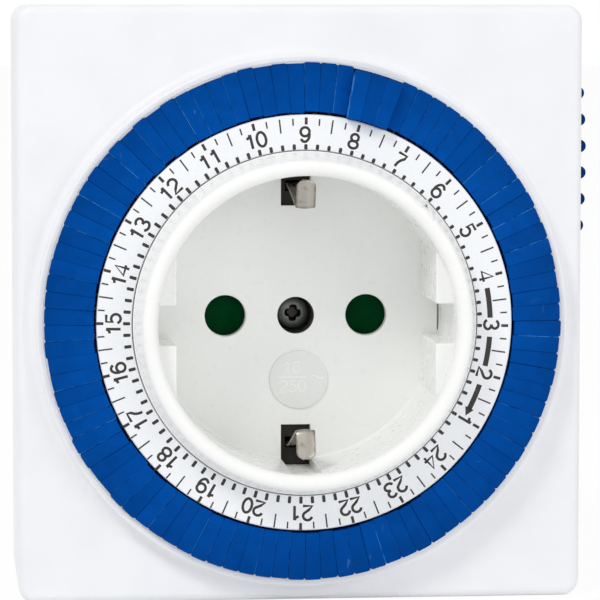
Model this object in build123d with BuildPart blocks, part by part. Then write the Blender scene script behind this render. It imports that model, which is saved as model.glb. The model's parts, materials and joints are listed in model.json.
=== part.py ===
from build123d import *
from math import acos, cos, degrees, pi, radians, sin, sqrt, tan
import os

# Plug in 24 hour timer switch with a socket in the middle of its dial.
# Frame: +X right and +Z up as seen from the dial, +Y towards the wall.
# The origin is the centre of the plug's face, on the common axis of plug and socket.

# ---- standard plug and socket ----
PIN_R = 2.4                 # plug pin radius
PIN_LENGTH = 19.0           # pin length beyond the plug face
PIN_SPACING = 19.0          # distance between the two pins
WELL_DEPTH = 17.5           # socket well, crest to floor
WELL_R = 19.5               # socket well radius
WELL_FLAT_X = 17.0          # guide flats of the well
PLUG_BOSS_R = 18.5          # plug boss radius
PLUG_BOSS_LENGTH = 18.0     # plug face to rear of casing
PLUG_FLAT_X = 16.9          # flats of the plug boss
PIN_HOLE_R = 2.75           # holes in the well floor

# ---- casing ----
SIDE_MARGIN = 2.4           # casing beyond the collar at both sides
TOP_MARGIN = 6.5            # casing above the collar
BOTTOM_MARGIN = 2.3         # casing below the collar
CASE_DEPTH = 30.3           # rear face to front face
CASE_WALL = 2.0
CASE_CORNER_R = 2.2
CASE_EDGE_R = 1.2
REAR_SHELL_DEPTH = 12.0
COLLAR_HEIGHT = 2.7         # collar round the dial, above the front face
COLLAR_WALL = 0.65
CREST_HEIGHT = 9.7          # crest of the well's rim above the front face

# ---- dial and segments ----
RIM_CREST_R = WELL_R + 1.2
RIM_FOOT_R = RIM_CREST_R + 1.9
DIAL_BAND = 4.76            # width of the printed ring
DIAL_R = RIM_FOOT_R + DIAL_BAND
DIAL_THICKNESS = 1.4
DIAL_DEPTH = 4.9            # dial surface behind the crest
SEGMENT_COUNT = 96
SEGMENT_LENGTH = 6.42
SEGMENT_INNER_R = DIAL_R + 0.32
SEGMENT_OUTER_R = SEGMENT_INNER_R + SEGMENT_LENGTH
SEGMENT_LEAN = 10.6         # slope of a segment's face and of its travel, degrees
SEGMENT_TRAVEL = 1.6
SEGMENT_GAP = 0.17          # angle between neighbours, degrees
SEGMENT_PHASE = -0.1        # first boundary, degrees clockwise from the top
LEG_WIDTH = 1.1
LEG_INNER_R = SEGMENT_INNER_R - 0.78    # inner side of a leg under the head
LEG_RADIAL = 1.6
RAISED_SEGMENTS = (3, 4, 5)
SINGLE_SEGMENTS = tuple(range(12))      # the ones made as single moving pieces

# ---- wheels ----
RING_TEETH = 80
RING_MODULE = 0.82
DRIVE_TEETH = 10
TRAIN_MODULE = 0.35
WHEEL_TEETH = 48
PINION_TEETH = 8
PRESSURE_ANGLE = 20.0
SHIFT = 0.4                 # profile shift: pinions plus, wheels minus
ADDENDUM = 0.8
DEDENDUM = 1.05
BACKLASH = 0.12             # tooth thinning, in modules
DRIVE_ANGLE = 128.0         # where the drive pinion meets the ring, degrees from +X
TRAIN_ANGLE = -105.0        # from drive arbor to intermediate arbor
MOTOR_ANGLE = 95.0          # from intermediate arbor to motor shaft
ARBOR_R = 0.75

# ---- clearances ----
RUNNING = 0.06              # radial, shaft in bore
SLIDE_GAP = 0.15            # between sliding faces
PART_GAP = 0.1              # between fitted parts

# ---- planes along the axis (y values) ----
REAR_Y = -PLUG_BOSS_LENGTH
PARTING_Y = REAR_Y - REAR_SHELL_DEPTH
FACE_Y = REAR_Y - CASE_DEPTH
CREST_Y = FACE_Y - CREST_HEIGHT
FLOOR_Y = CREST_Y + WELL_DEPTH
DIAL_Y = CREST_Y + DIAL_DEPTH
INNER_FRONT_Y = FACE_Y + CASE_WALL
INNER_REAR_Y = REAR_Y - CASE_WALL
PIN_X = PIN_SPACING / 2
COLLAR_R = SEGMENT_OUTER_R + 0.35       # room round the segments
COLLAR_OUTER_R = COLLAR_R + COLLAR_WALL
TOP_Z = COLLAR_OUTER_R + TOP_MARGIN
BOTTOM_Z = -COLLAR_OUTER_R - BOTTOM_MARGIN
MID_Z = (TOP_Z + BOTTOM_Z) / 2
BODY_HEIGHT = TOP_Z - BOTTOM_Z
BODY_WIDTH = 2 * (COLLAR_OUTER_R + SIDE_MARGIN)
INNER_X = BODY_WIDTH / 2 - CASE_WALL

os.makedirs("parts", exist_ok=True)


def front(y):
    """Plane across the axis whose sketch reads (X, Z) and whose extrusion goes to the front."""
    return Plane(origin=(0, y, 0), x_dir=(1, 0, 0), z_dir=(0, -1, 0))


def polar(radius, angle):
    """Point (X, Z) at an angle counted from +X towards +Z."""
    return (radius * cos(radians(angle)), radius * sin(radians(angle)))


def on_diagonal(point):
    """X and Z of a point given along and across the 45 degree line."""
    return ((point[0] - point[1]) * sqrt(0.5), (point[0] + point[1]) * sqrt(0.5))


def along(point, direction, distance):
    """Point moved along a direction."""
    return (point[0] + direction[0] * distance, point[1] + direction[1] * distance)


def clock(angle):
    """Angle from +X for an angle counted clockwise from the top."""
    return 90 - angle


def save(piece, name):
    piece.part.label = name
    export_step(piece.part, f"parts/{name}.step")


def involute(angle):
    return tan(angle) - angle


def gear_outline(module, teeth, shift, phase):
    """Involute wheel in the current sketch: a tooth stands at the phase angle."""
    pitch_r = module * teeth / 2
    base_r = pitch_r * cos(radians(PRESSURE_ANGLE))
    tip_r = pitch_r + module * (ADDENDUM + shift)
    root_r = pitch_r - module * (DEDENDUM - shift)
    thickness = module * (pi / 2 + 2 * shift * tan(radians(PRESSURE_ANGLE)) - BACKLASH)
    half_pitch = thickness / (2 * pitch_r) + involute(radians(PRESSURE_ANGLE))

    def half_angle(radius):
        if radius <= base_r:
            return degrees(half_pitch)
        return degrees(half_pitch - involute(acos(base_r / radius)))

    start_r = max(root_r, base_r)
    middle_r = (start_r + tip_r) / 2
    bed_r = 0.96 * root_r
    with BuildSketch() as tooth:
        with BuildLine():
            Line(polar(bed_r, -half_angle(start_r)), polar(start_r, -half_angle(start_r)))
            ThreePointArc(*[polar(r, -half_angle(r)) for r in (start_r, middle_r, tip_r)])
            Line(polar(tip_r, -half_angle(tip_r)), polar(tip_r, half_angle(tip_r)))
            ThreePointArc(*[polar(r, half_angle(r)) for r in (tip_r, middle_r, start_r)])
            Line(polar(start_r, half_angle(start_r)), polar(bed_r, half_angle(start_r)))
            Line(polar(bed_r, half_angle(start_r)), polar(bed_r, -half_angle(start_r)))
        make_face()
    Circle(root_r)
    with PolarLocations(0, teeth, start_angle=phase):
        add(tooth.sketch)


def ring_solid(inner, outer, y_rear, y_front):
    """Tube between two radii, inside a BuildPart block."""
    with BuildSketch(front(y_rear)) as profile:
        Circle(outer)
        Circle(inner, mode=Mode.SUBTRACT)
    extrude(profile.sketch, amount=y_rear - y_front)


def disc(centre, radius, y_rear, y_front, mode=Mode.ADD):
    with BuildSketch(front(y_rear)) as profile:
        with Locations(centre):
            Circle(radius)
    extrude(profile.sketch, amount=y_rear - y_front, mode=mode)


def block(x_range, z_range, y_rear, y_front, mode=Mode.ADD):
    with BuildSketch(front(y_rear)) as profile:
        with Locations(((x_range[0] + x_range[1]) / 2, (z_range[0] + z_range[1]) / 2)):
            Rectangle(x_range[1] - x_range[0], z_range[1] - z_range[0])
    extrude(profile.sketch, amount=y_rear - y_front, mode=mode)


def strip(points, width, thickness, plane):
    """Bent sheet strip: a centre line with a thickness, as wide as given, both ways from the plane."""
    with BuildSketch(plane) as profile:
        with BuildLine() as centre_line:
            Polyline(*points)
        trace(centre_line.line, line_width=thickness)
    extrude(profile.sketch, amount=width / 2, both=True)


# ---- places of the arbors and screws ----
DRIVE_DISTANCE = RING_MODULE * (RING_TEETH + DRIVE_TEETH) / 2
TRAIN_DISTANCE = TRAIN_MODULE * (WHEEL_TEETH + PINION_TEETH) / 2
drive_at = polar(DRIVE_DISTANCE, DRIVE_ANGLE)
middle_at = tuple(a + b for a, b in zip(drive_at, polar(TRAIN_DISTANCE, TRAIN_ANGLE)))
motor_at = tuple(a + b for a, b in zip(middle_at, polar(TRAIN_DISTANCE, MOTOR_ANGLE)))
MOTOR_SHAFT_OFFSET = (1.608, -2.874)    # from the output pinion to the middle of the motor
MOTOR_CENTRE = tuple(a + b for a, b in zip(motor_at, MOTOR_SHAFT_OFFSET))
MOTOR_R = 9.5
CORNER_POST_R = 2.7
POST_INSET_X = 5.1
POST_INSET_Z = 5.2
case_posts = [
    (side * (BODY_WIDTH / 2 - POST_INSET_X), z)
    for side in (-1, 1)
    for z in (BOTTOM_Z + POST_INSET_Z, TOP_Z - POST_INSET_Z)
]
PLATE_POSTS = [(-12.5, TOP_Z - 5.6), (-INNER_X + 2.5, 11.5)]
PLATE_POST_R = 2.2
POST_BORE_R = 1.4
CASE_SCREW_R = 1.37
CASE_SCREW_HEAD_R = 2.2
HEAD_SINK = 1.5             # casing screw heads below the rear face
HEAD_SEAT = 3.0             # depth of the counterbores
SCREW_REACH = 10.0          # screws beyond the parting plane

# ---- planes of the mechanism ----
WEB_FRONT = FACE_Y - 0.7
WEB_THICKNESS = 1.6
WEB_REAR = WEB_FRONT + WEB_THICKNESS
RING_REAR = WEB_FRONT + 5.0
LEVER_FRONT = RING_REAR + 0.35
LEVER_THICKNESS = 0.9
LEVER_REAR = LEVER_FRONT + LEVER_THICKNESS
FOOT_FRONT = LEVER_REAR + 0.52          # foot of a lowered segment
FOOT_HEIGHT = 1.0
FOOT_REAR = FOOT_FRONT + FOOT_HEIGHT
DRIVE_FRONT = INNER_FRONT_Y + 0.3
DRIVE_REAR = RING_REAR + 0.2
CLUTCH_FRONT = FOOT_REAR + 0.43
CLUTCH_REAR = CLUTCH_FRONT + 1.0
MIDDLE_FRONT = CLUTCH_REAR + 0.5
MIDDLE_REAR = MIDDLE_FRONT + 1.0
PLATE_FRONT = MIDDLE_REAR + 0.4
PLATE_THICKNESS = 1.0
PLATE_REAR = PLATE_FRONT + PLATE_THICKNESS
MOTOR_LENGTH = 12.0
GEARCASE_LENGTH = 4.0
MOTOR_REAR = PLATE_REAR + MOTOR_LENGTH

# ---- socket and contact block ----
INSERT_WALL = 1.7
INSERT_R = WELL_R + INSERT_WALL
FLOOR_THICKNESS = 1.6
FLOOR_REAR = FLOOR_Y + FLOOR_THICKNESS
TUBE_R = 3.6                # tube round the centre screw
SCREW_RECESS_R = 2.47
SCREW_HEAD_R = 2.3
SCREW_R = 1.5
HEAD_DEPTH = 4.0            # screw head below the floor
HEAD_HEIGHT = 1.4
TUBE_WEB = 1.6
HEAD_FRONT = FLOOR_Y + HEAD_DEPTH
HEAD_REAR = HEAD_FRONT + HEAD_HEIGHT
TUBE_REAR = HEAD_REAR + TUBE_WEB
EARTH_THICKNESS = 0.6
EARTH_WIDTH = 2.4
EARTH_FRONT = TUBE_REAR + 0.02
EARTH_REAR = EARTH_FRONT + EARTH_THICKNESS
BLOCK_FRONT = FLOOR_REAR + 0.2
BLOCK_REAR = INNER_REAR_Y - 4.0
BLOCK_R = RIM_FOOT_R + 0.2
HUB_R = INSERT_R + 0.08     # bore of the turning hub on the insert
HUB_OUTER_R = RIM_FOOT_R + 0.3
BLOCK_RING_FRONT = FLOOR_REAR - 2.5     # ring on which the hub rests
HUB_REAR = BLOCK_RING_FRONT - PART_GAP
SHUTTER_THICKNESS = 1.4
SHUTTER_FRONT = FLOOR_REAR + 0.3
SHUTTER_REAR = SHUTTER_FRONT + SHUTTER_THICKNESS
SHUTTER_SEAT = SHUTTER_REAR + 0.6
SHUTTER_R = 12.6
EARTH_LEG_R = 17.5
CONTACT_R = PIN_R + 0.05
CONTACT_WALL = 0.5
CONTACT_FRONT = SHUTTER_SEAT + 0.8

# ---- front housing ----
SLIDER_MID_Z = 20.9
SLIDER_LENGTH = 19.4
SLIDER_TRAVEL = 4.0
SLIDER_WIDTH = 6.0
SLIDER_Y = FACE_Y + 9.3
WINDOW_LENGTH = SLIDER_LENGTH + SLIDER_TRAVEL + 1.0
WINDOW_MID_Z = SLIDER_MID_Z - SLIDER_TRAVEL / 2
WINDOW_GAP = 0.2            # between the slider and the long sides of its window
ARBOR_BOSS_R = 2.0
ARBOR_BOSS_GAP = 0.2
ARBOR_SKIN = 0.8            # front wall left over the arbor's bearing hole

with BuildPart() as front_housing:
    with BuildSketch(front(PARTING_Y)):
        with Locations((0, MID_Z)):
            RectangleRounded(BODY_WIDTH, BODY_HEIGHT, CASE_CORNER_R)
    extrude(amount=PARTING_Y - FACE_Y)
    fillet(front_housing.faces().sort_by(Axis.Y)[0].edges(), radius=CASE_EDGE_R)
    with BuildSketch(front(PARTING_Y)):
        with Locations((0, MID_Z)):
            Rectangle(BODY_WIDTH - 2 * CASE_WALL, BODY_HEIGHT - 2 * CASE_WALL)
    extrude(amount=PARTING_Y - INNER_FRONT_Y, mode=Mode.SUBTRACT)
    disc((0, 0), COLLAR_OUTER_R, INNER_FRONT_Y, FACE_Y - COLLAR_HEIGHT)
    disc((0, 0), COLLAR_R, INNER_FRONT_Y, FACE_Y - COLLAR_HEIGHT, mode=Mode.SUBTRACT)
    for post in case_posts:
        disc(post, CORNER_POST_R, PARTING_Y, INNER_FRONT_Y)
        disc(post, POST_BORE_R, PARTING_Y, PARTING_Y - SCREW_REACH - 2, mode=Mode.SUBTRACT)
    disc(drive_at, ARBOR_BOSS_R, DRIVE_FRONT - ARBOR_BOSS_GAP, INNER_FRONT_Y)
    disc(drive_at, ARBOR_R + RUNNING, DRIVE_FRONT - ARBOR_BOSS_GAP, FACE_Y + ARBOR_SKIN, mode=Mode.SUBTRACT)
    with BuildSketch(front(SLIDER_Y + SLIDER_WIDTH / 2 + WINDOW_GAP)):
        with Locations((BODY_WIDTH / 2, WINDOW_MID_Z)):
            Rectangle(3 * CASE_WALL, WINDOW_LENGTH)
    extrude(amount=SLIDER_WIDTH + 2 * WINDOW_GAP, mode=Mode.SUBTRACT)
save(front_housing, "front_housing")

# ---- rear housing with the plug boss ----
BOSS_WALL_R = 13.8
FACE_WALL = 2.0
EARTH_FLAT = 16.2           # outer face of the plug's earth strips
PLUG_EARTH_WIDTH = 4.0
CENTRE_POST_R = 3.6
head_seat_y = REAR_Y - HEAD_SEAT + 0.02

with BuildPart() as housing_screws:
    for post in case_posts:
        disc(post, CASE_SCREW_HEAD_R, REAR_Y - HEAD_SINK, head_seat_y)
        disc(post, CASE_SCREW_R, head_seat_y, PARTING_Y - SCREW_REACH)
save(housing_screws, "housing_screws")

# ---- socket insert: rim, well, floor, guide flats ----
MOUTH_ROUND = 1.1
RIM_SHOULDER_Y = DIAL_Y - SLIDE_GAP
FLAT_HEIGHT = 14.7
NOTCH_HALF = 2.6
APERTURE_HALF = 2.0
APERTURE_IN = 14.75
GROOVE_DEPTH = 0.9          # grooves behind the earth clips, into the well's wall
SLOT_FRONT = CREST_Y + 2.8
DISC_R = 4.0
DISC_AT = (0.4, -8.67)
DISC_HEIGHT = 0.25
RIM_ROUND = 0.9             # how far the rim's outer rounding reaches
POINTER_WIDTH = 0.5
POINTER_LENGTH = 3.0
POINTER_HEIGHT = 0.22       # pointer above the rim

with BuildPart() as pointer_ridge:
    with BuildSketch(Plane.XY):
        with BuildLine():
            Polyline((WELL_R + 0.4, RIM_SHOULDER_Y), (RIM_FOOT_R + POINTER_HEIGHT, RIM_SHOULDER_Y),
                     (RIM_CREST_R + RIM_ROUND, CREST_Y + 1.2), (RIM_CREST_R - 0.1, CREST_Y + 0.1),
                     (WELL_R + 0.4, CREST_Y + 1.0), close=True)
        make_face()
    revolve(axis=Axis.Y)
    apex = polar(RIM_FOOT_R + 0.3, 45)
    with BuildSketch(front(FLOOR_Y)):
        with Locations((apex[0] - POINTER_LENGTH / 2, apex[1] - POINTER_WIDTH / 2)):
            Rectangle(POINTER_LENGTH, POINTER_WIDTH)
        with Locations((apex[0] - POINTER_WIDTH / 2, apex[1] - POINTER_LENGTH / 2)):
            Rectangle(POINTER_WIDTH, POINTER_LENGTH)
    extrude(amount=FLOOR_Y - CREST_Y, mode=Mode.INTERSECT)

with BuildPart() as socket_insert:
    with BuildSketch(Plane.XY):
        with BuildLine():
            Polyline((0, FLOOR_REAR), (0, FLOOR_Y), (WELL_R, FLOOR_Y), (WELL_R, CREST_Y + MOUTH_ROUND))
            ThreePointArc((WELL_R, CREST_Y + MOUTH_ROUND),
                          (WELL_R + 0.35, CREST_Y + 0.33), (RIM_CREST_R, CREST_Y))
            ThreePointArc((RIM_CREST_R, CREST_Y),
                          (RIM_CREST_R + 0.62, CREST_Y + 0.36), (RIM_CREST_R + RIM_ROUND, CREST_Y + 1.3))
            Polyline((RIM_CREST_R + RIM_ROUND, CREST_Y + 1.3), (RIM_FOOT_R, RIM_SHOULDER_Y),
                     (INSERT_R, RIM_SHOULDER_Y), (INSERT_R, FLOOR_REAR), (0, FLOOR_REAR))
        make_face()
    revolve(axis=Axis.Y)
    for side in (-1, 1):
        with BuildSketch(front(FLOOR_Y)):
            Circle(WELL_R + 0.2)
            with Locations((-side * (BODY_WIDTH / 2 - WELL_FLAT_X), 0)):
                Rectangle(BODY_WIDTH, BODY_HEIGHT, mode=Mode.SUBTRACT)
        extrude(amount=FLAT_HEIGHT)
        notch = sorted((side * WELL_FLAT_X, side * (WELL_R - 0.01)))
        block(notch, (-NOTCH_HALF, NOTCH_HALF), FLOOR_Y, FLOOR_Y - FLAT_HEIGHT - 1, mode=Mode.SUBTRACT)
    disc((0, 0), TUBE_R, TUBE_REAR, FLOOR_REAR)
    disc((0, 0), SCREW_RECESS_R, HEAD_REAR, FLOOR_Y, mode=Mode.SUBTRACT)
    disc((0, 0), SCREW_R + 0.15, TUBE_REAR, HEAD_REAR, mode=Mode.SUBTRACT)
    for side in (-1, 1):
        disc((side * PIN_X, 0), PIN_HOLE_R, FLOOR_REAR, FLOOR_Y, mode=Mode.SUBTRACT)
        opening = sorted((side * APERTURE_IN, side * (WELL_R + GROOVE_DEPTH)))
        half = (-APERTURE_HALF, APERTURE_HALF)
        block(half, opening, FLOOR_REAR, FLOOR_Y, mode=Mode.SUBTRACT)
        groove = sorted((side * (WELL_R - 0.5), side * (WELL_R + GROOVE_DEPTH)))
        block(half, groove, FLOOR_Y + 0.01, SLOT_FRONT, mode=Mode.SUBTRACT)
    disc(DISC_AT, DISC_R, FLOOR_Y, FLOOR_Y - DISC_HEIGHT)
    add(pointer_ridge.part)
save(socket_insert, "socket_insert")

# ---- screw in the middle of the floor ----
CROSS_LENGTH = 2.6
CROSS_WIDTH = 0.6
CROSS_DEPTH = 0.8
with BuildPart() as centre_screw:
    disc((0, 0), SCREW_HEAD_R, HEAD_REAR, HEAD_FRONT)
    fillet(centre_screw.faces().sort_by(Axis.Y)[0].edges(), radius=0.4)
    disc((0, 0), SCREW_R, INNER_REAR_Y, HEAD_REAR)
    with BuildSketch(front(HEAD_FRONT + CROSS_DEPTH)):
        Rectangle(CROSS_LENGTH, CROSS_WIDTH)
        Rectangle(CROSS_WIDTH, CROSS_LENGTH)
    extrude(amount=CROSS_DEPTH, mode=Mode.SUBTRACT)
save(centre_screw, "centre_screw")

# ---- shutter that turns on the screw tube, and its spring ----
SHUTTER_HUB_R = 5.2
WING_HALF = 18.0
with BuildPart() as socket_shutter:
    with BuildSketch(front(SHUTTER_REAR)):
        for side in (0, 180):
            with BuildLine():
                Line((0, 0), polar(SHUTTER_R, side - WING_HALF))
                ThreePointArc(polar(SHUTTER_R, side - WING_HALF), polar(SHUTTER_R, side),
                              polar(SHUTTER_R, side + WING_HALF))
                Line(polar(SHUTTER_R, side + WING_HALF), (0, 0))
            make_face()
        Circle(SHUTTER_HUB_R)
        Circle(TUBE_R + RUNNING, mode=Mode.SUBTRACT)
    extrude(amount=SHUTTER_THICKNESS)
save(socket_shutter, "socket_shutter")

SPRING_WIRE_R = 0.22
with BuildPart() as shutter_spring:
    with BuildSketch(Plane.XY):
        with Locations((TUBE_R + 0.8, SHUTTER_REAR + 0.3)):
            Circle(SPRING_WIRE_R)
    revolve(axis=Axis.Y, revolution_arc=300)
save(shutter_spring, "shutter_spring")

# ---- insulating block behind the floor ----
POCKET_R = CONTACT_R + CONTACT_WALL + 0.4
with BuildPart() as contact_carrier:
    disc((0, 0), BLOCK_R, BLOCK_REAR, BLOCK_FRONT)
    ring_solid(INSERT_R + PART_GAP, BLOCK_R, BLOCK_FRONT, BLOCK_RING_FRONT)
    disc((0, 0), SHUTTER_R + 1.0, SHUTTER_SEAT, BLOCK_FRONT, mode=Mode.SUBTRACT)
    disc((0, 0), CENTRE_POST_R + PART_GAP, BLOCK_REAR, BLOCK_FRONT, mode=Mode.SUBTRACT)
    for side in (-1, 1):
        disc((side * PIN_X, 0), POCKET_R, BLOCK_REAR, SHUTTER_SEAT, mode=Mode.SUBTRACT)
    strap_half = EARTH_WIDTH / 2 + PART_GAP
    strap_end = EARTH_LEG_R + 0.6
    block((-strap_half, strap_half), (-strap_end, strap_end), EARTH_REAR + 0.3, EARTH_FRONT - 0.3,
          mode=Mode.SUBTRACT)
    for side in (-1, 1):
        leg = sorted((side * (EARTH_LEG_R - 0.9), side * strap_end))
        block((-strap_half, strap_half), leg, EARTH_REAR + 0.3, BLOCK_FRONT, mode=Mode.SUBTRACT)
save(contact_carrier, "contact_carrier")

# ---- socket contacts, plug pins ----
PIN_TAIL_R = 1.6
PIN_ROOT_R = 2.7            # knurled root pressed into the face of the boss
PIN_COLLAR_R = 3.6
PIN_COLLAR_LENGTH = 1.5
PIN_TIP_R = 0.6 * PIN_R
NEUTRAL_CUP_REAR = INNER_REAR_Y - 1.0
TAIL_FRONT = NEUTRAL_CUP_REAR - 1.2
LIVE_CUP_REAR = BLOCK_REAR - 0.2
SLIT = 1.0


def contact_sleeve(x, rear, hole):
    """Slit sleeve that grips a pin, closed at its rear by a disc."""
    disc((x, 0), CONTACT_R + CONTACT_WALL, rear, CONTACT_FRONT)
    disc((x, 0), CONTACT_R, rear - 0.8, CONTACT_FRONT, mode=Mode.SUBTRACT)
    block((x - SLIT / 2, x + SLIT / 2), (-5, 5), rear - 3.0, CONTACT_FRONT, mode=Mode.SUBTRACT)
    if hole:
        disc((x, 0), hole, rear, rear - 0.8, mode=Mode.SUBTRACT)


def plug_pin(x, tail):
    """Solid pin with a root in the plug face, a collar behind it and a tail."""
    disc((x, 0), PIN_R, PIN_LENGTH, 0)
    disc((x, 0), PIN_ROOT_R, 0, -FACE_WALL)
    disc((x, 0), PIN_COLLAR_R, -FACE_WALL, -FACE_WALL - PIN_COLLAR_LENGTH)
    disc((x, 0), PIN_TAIL_R, -FACE_WALL - PIN_COLLAR_LENGTH, tail)


with BuildPart() as neutral_contact:
    contact_sleeve(-PIN_X, NEUTRAL_CUP_REAR, PIN_TAIL_R + 0.02)
save(neutral_contact, "neutral_contact")

with BuildPart() as live_contact:
    contact_sleeve(PIN_X, LIVE_CUP_REAR, 0)
save(live_contact, "live_contact")

with BuildPart() as neutral_pin:
    plug_pin(-PIN_X, TAIL_FRONT)
    fillet(neutral_pin.faces().sort_by(Axis.Y)[-1].edges(), radius=PIN_TIP_R)
save(neutral_pin, "neutral_pin")

with BuildPart() as live_pin:
    plug_pin(PIN_X, INNER_REAR_Y + 1.0)
    fillet(live_pin.faces().sort_by(Axis.Y)[-1].edges(), radius=PIN_TIP_R)
save(live_pin, "live_pin")

# ---- earth straps ----
PEAK_Z = 14.2               # inner faces of the two clips
PEAK_Y = CREST_Y + 4.7
TIP_Y = CREST_Y + 3.4
TIP_Z = 18.3
with BuildPart() as earth_strap:
    centre_y = (EARTH_FRONT + EARTH_REAR) / 2
    half = EARTH_THICKNESS / 2
    profile = [(0, centre_y), (EARTH_LEG_R, centre_y), (EARTH_LEG_R, FLOOR_Y - 0.5),
               (PEAK_Z + half, PEAK_Y), (TIP_Z - half, TIP_Y)]
    for side in (-1, 1):
        strip([(y, side * z) for z, y in profile], EARTH_WIDTH, EARTH_THICKNESS, Plane.YZ)
    disc((0, 0), CENTRE_POST_R, EARTH_REAR, EARTH_FRONT)
    disc((0, 0), SCREW_R + 0.15, EARTH_REAR, EARTH_FRONT, mode=Mode.SUBTRACT)
save(earth_strap, "earth_strap")

with BuildPart() as plug_earth_strap:
    leg_z = EARTH_FLAT - 0.3
    for side in (-1, 1):
        strip([(-1.4, side * leg_z), (INNER_REAR_Y - 0.9, side * leg_z),
               (INNER_REAR_Y - 0.9, side * (CENTRE_POST_R + 0.3))],
              PLUG_EARTH_WIDTH, 0.6, Plane.YZ)
    ring_solid(CENTRE_POST_R + PART_GAP, CENTRE_POST_R + 1.5, INNER_REAR_Y - 0.6, INNER_REAR_Y - 1.2)
save(plug_earth_strap, "plug_earth_strap")

# ---- dial ring ----
with BuildPart() as dial_ring:
    ring_solid(HUB_R, DIAL_R, DIAL_Y + DIAL_THICKNESS, DIAL_Y)
    fillet(dial_ring.faces().sort_by(Axis.Y)[0].edges().sort_by(SortBy.LENGTH)[-1:], radius=0.3)
save(dial_ring, "dial_ring")

# ---- segment carrier with the ring gear ----
lean = tan(radians(SEGMENT_LEAN))
SHOULDER_Y = DIAL_Y + 3.1          # top of a leg, stopped by the dial when raised
HEAD_REAR_Y = WEB_FRONT - 0.1


def leg_inner(y):
    """Radius of a leg's inner side at a height."""
    return LEG_INNER_R + (y - SHOULDER_Y) * lean


RING_INNER_R = leg_inner(RING_REAR) + LEG_RADIAL + 0.25
slot_in = leg_inner(WEB_FRONT) - PART_GAP
slot_out = leg_inner(WEB_REAR) + LEG_RADIAL + PART_GAP
SEGMENT_STEP = 360 / SEGMENT_COUNT

with BuildPart() as segment_carrier:
    ring_solid(HUB_R, HUB_OUTER_R, HUB_REAR, DIAL_Y + DIAL_THICKNESS)
    ring_solid(HUB_OUTER_R - 0.2, RING_INNER_R + 0.2, WEB_REAR, WEB_FRONT)
    with BuildSketch(front(RING_REAR)):
        gear_outline(RING_MODULE, RING_TEETH, -SHIFT, DRIVE_ANGLE)
        Circle(RING_INNER_R, mode=Mode.SUBTRACT)
    extrude(amount=RING_REAR - WEB_FRONT)
    with BuildSketch(front(WEB_REAR)):
        with PolarLocations((slot_in + slot_out) / 2, SEGMENT_COUNT,
                            start_angle=clock(SEGMENT_PHASE + SEGMENT_STEP / 2)):
            Rectangle(slot_out - slot_in, LEG_WIDTH + 2 * PART_GAP)
    extrude(amount=WEB_THICKNESS, mode=Mode.SUBTRACT)
save(segment_carrier, "segment_carrier")

# ---- the 96 segments ----
face_slope = lean * (SEGMENT_OUTER_R - SEGMENT_INNER_R)
HEAD_WIDTH = SEGMENT_STEP - SEGMENT_GAP
FOOT_REACH = 1.35

with BuildPart() as segment:
    with BuildSketch(Plane.XY):
        with BuildLine():
            Polyline((SEGMENT_INNER_R, DIAL_Y), (SEGMENT_OUTER_R, DIAL_Y + face_slope),
                     (SEGMENT_OUTER_R, HEAD_REAR_Y), (SEGMENT_INNER_R, HEAD_REAR_Y), close=True)
        make_face()
    revolve(axis=Axis.Y, revolution_arc=HEAD_WIDTH)
with BuildPart() as segment_leg:
    with BuildSketch(Plane.XY):
        with BuildLine():
            foot_out = leg_inner(FOOT_FRONT) + LEG_RADIAL
            Polyline((LEG_INNER_R, SHOULDER_Y), (LEG_INNER_R + LEG_RADIAL, SHOULDER_Y),
                     (foot_out, FOOT_FRONT), (foot_out + FOOT_REACH, FOOT_FRONT),
                     (foot_out + FOOT_REACH, FOOT_REAR), (leg_inner(FOOT_REAR), FOOT_REAR), close=True)
        make_face()
    extrude(amount=LEG_WIDTH / 2, both=True)

head_turn = Rot(0, HEAD_WIDTH / 2, 0)
straight_segment = head_turn * segment.part + segment_leg.part
if len(straight_segment.solids()) != 1:
    straight_segment = head_turn.inverse() * segment.part + segment_leg.part
raise_by = Pos(-SEGMENT_TRAVEL * sin(radians(SEGMENT_LEAN)),
               -SEGMENT_TRAVEL * cos(radians(SEGMENT_LEAN)), 0)


def placed_segment(index):
    """One segment of the ring, counted clockwise from the top, raised where it's set."""
    angle = SEGMENT_PHASE + (index + 0.5) * SEGMENT_STEP
    piece = raise_by * straight_segment if index in RAISED_SEGMENTS else straight_segment
    return Rot(0, -clock(angle), 0) * piece


for index in SINGLE_SEGMENTS:
    with BuildPart() as single_segment:
        add(placed_segment(index))
    save(single_segment, f"segment_{index + 1:02d}")

with BuildPart() as segments_lowered:
    add([placed_segment(k) for k in range(SEGMENT_COUNT) if k not in SINGLE_SEGMENTS])
save(segments_lowered, "segments_lowered")

# ---- drive train ----
train_space = 180 / PINION_TEETH
STUD_R = 0.6
DRIVE_PIVOT_FRONT = FACE_Y + 1.0


def wheel(centre, y_rear, y_front, module, teeth, shift, phase, bore=0):
    """Toothed wheel, with a bore where it runs on an arbor."""
    with BuildSketch(front(y_rear)) as profile:
        gear_outline(module, teeth, shift, phase)
        if bore:
            Circle(bore, mode=Mode.SUBTRACT)
    extrude(Pos(centre[0], 0, centre[1]) * profile.sketch, amount=y_rear - y_front)


with BuildPart() as drive_pinion:
    wheel(drive_at, DRIVE_REAR, DRIVE_FRONT, RING_MODULE, DRIVE_TEETH, SHIFT,
          DRIVE_ANGLE + 180 + 180 / DRIVE_TEETH)
    disc(drive_at, 1.6, CLUTCH_FRONT - 0.75, DRIVE_REAR)
    disc(drive_at, ARBOR_R, PLATE_REAR - 0.1, DRIVE_PIVOT_FRONT)
save(drive_pinion, "drive_pinion")

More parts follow.
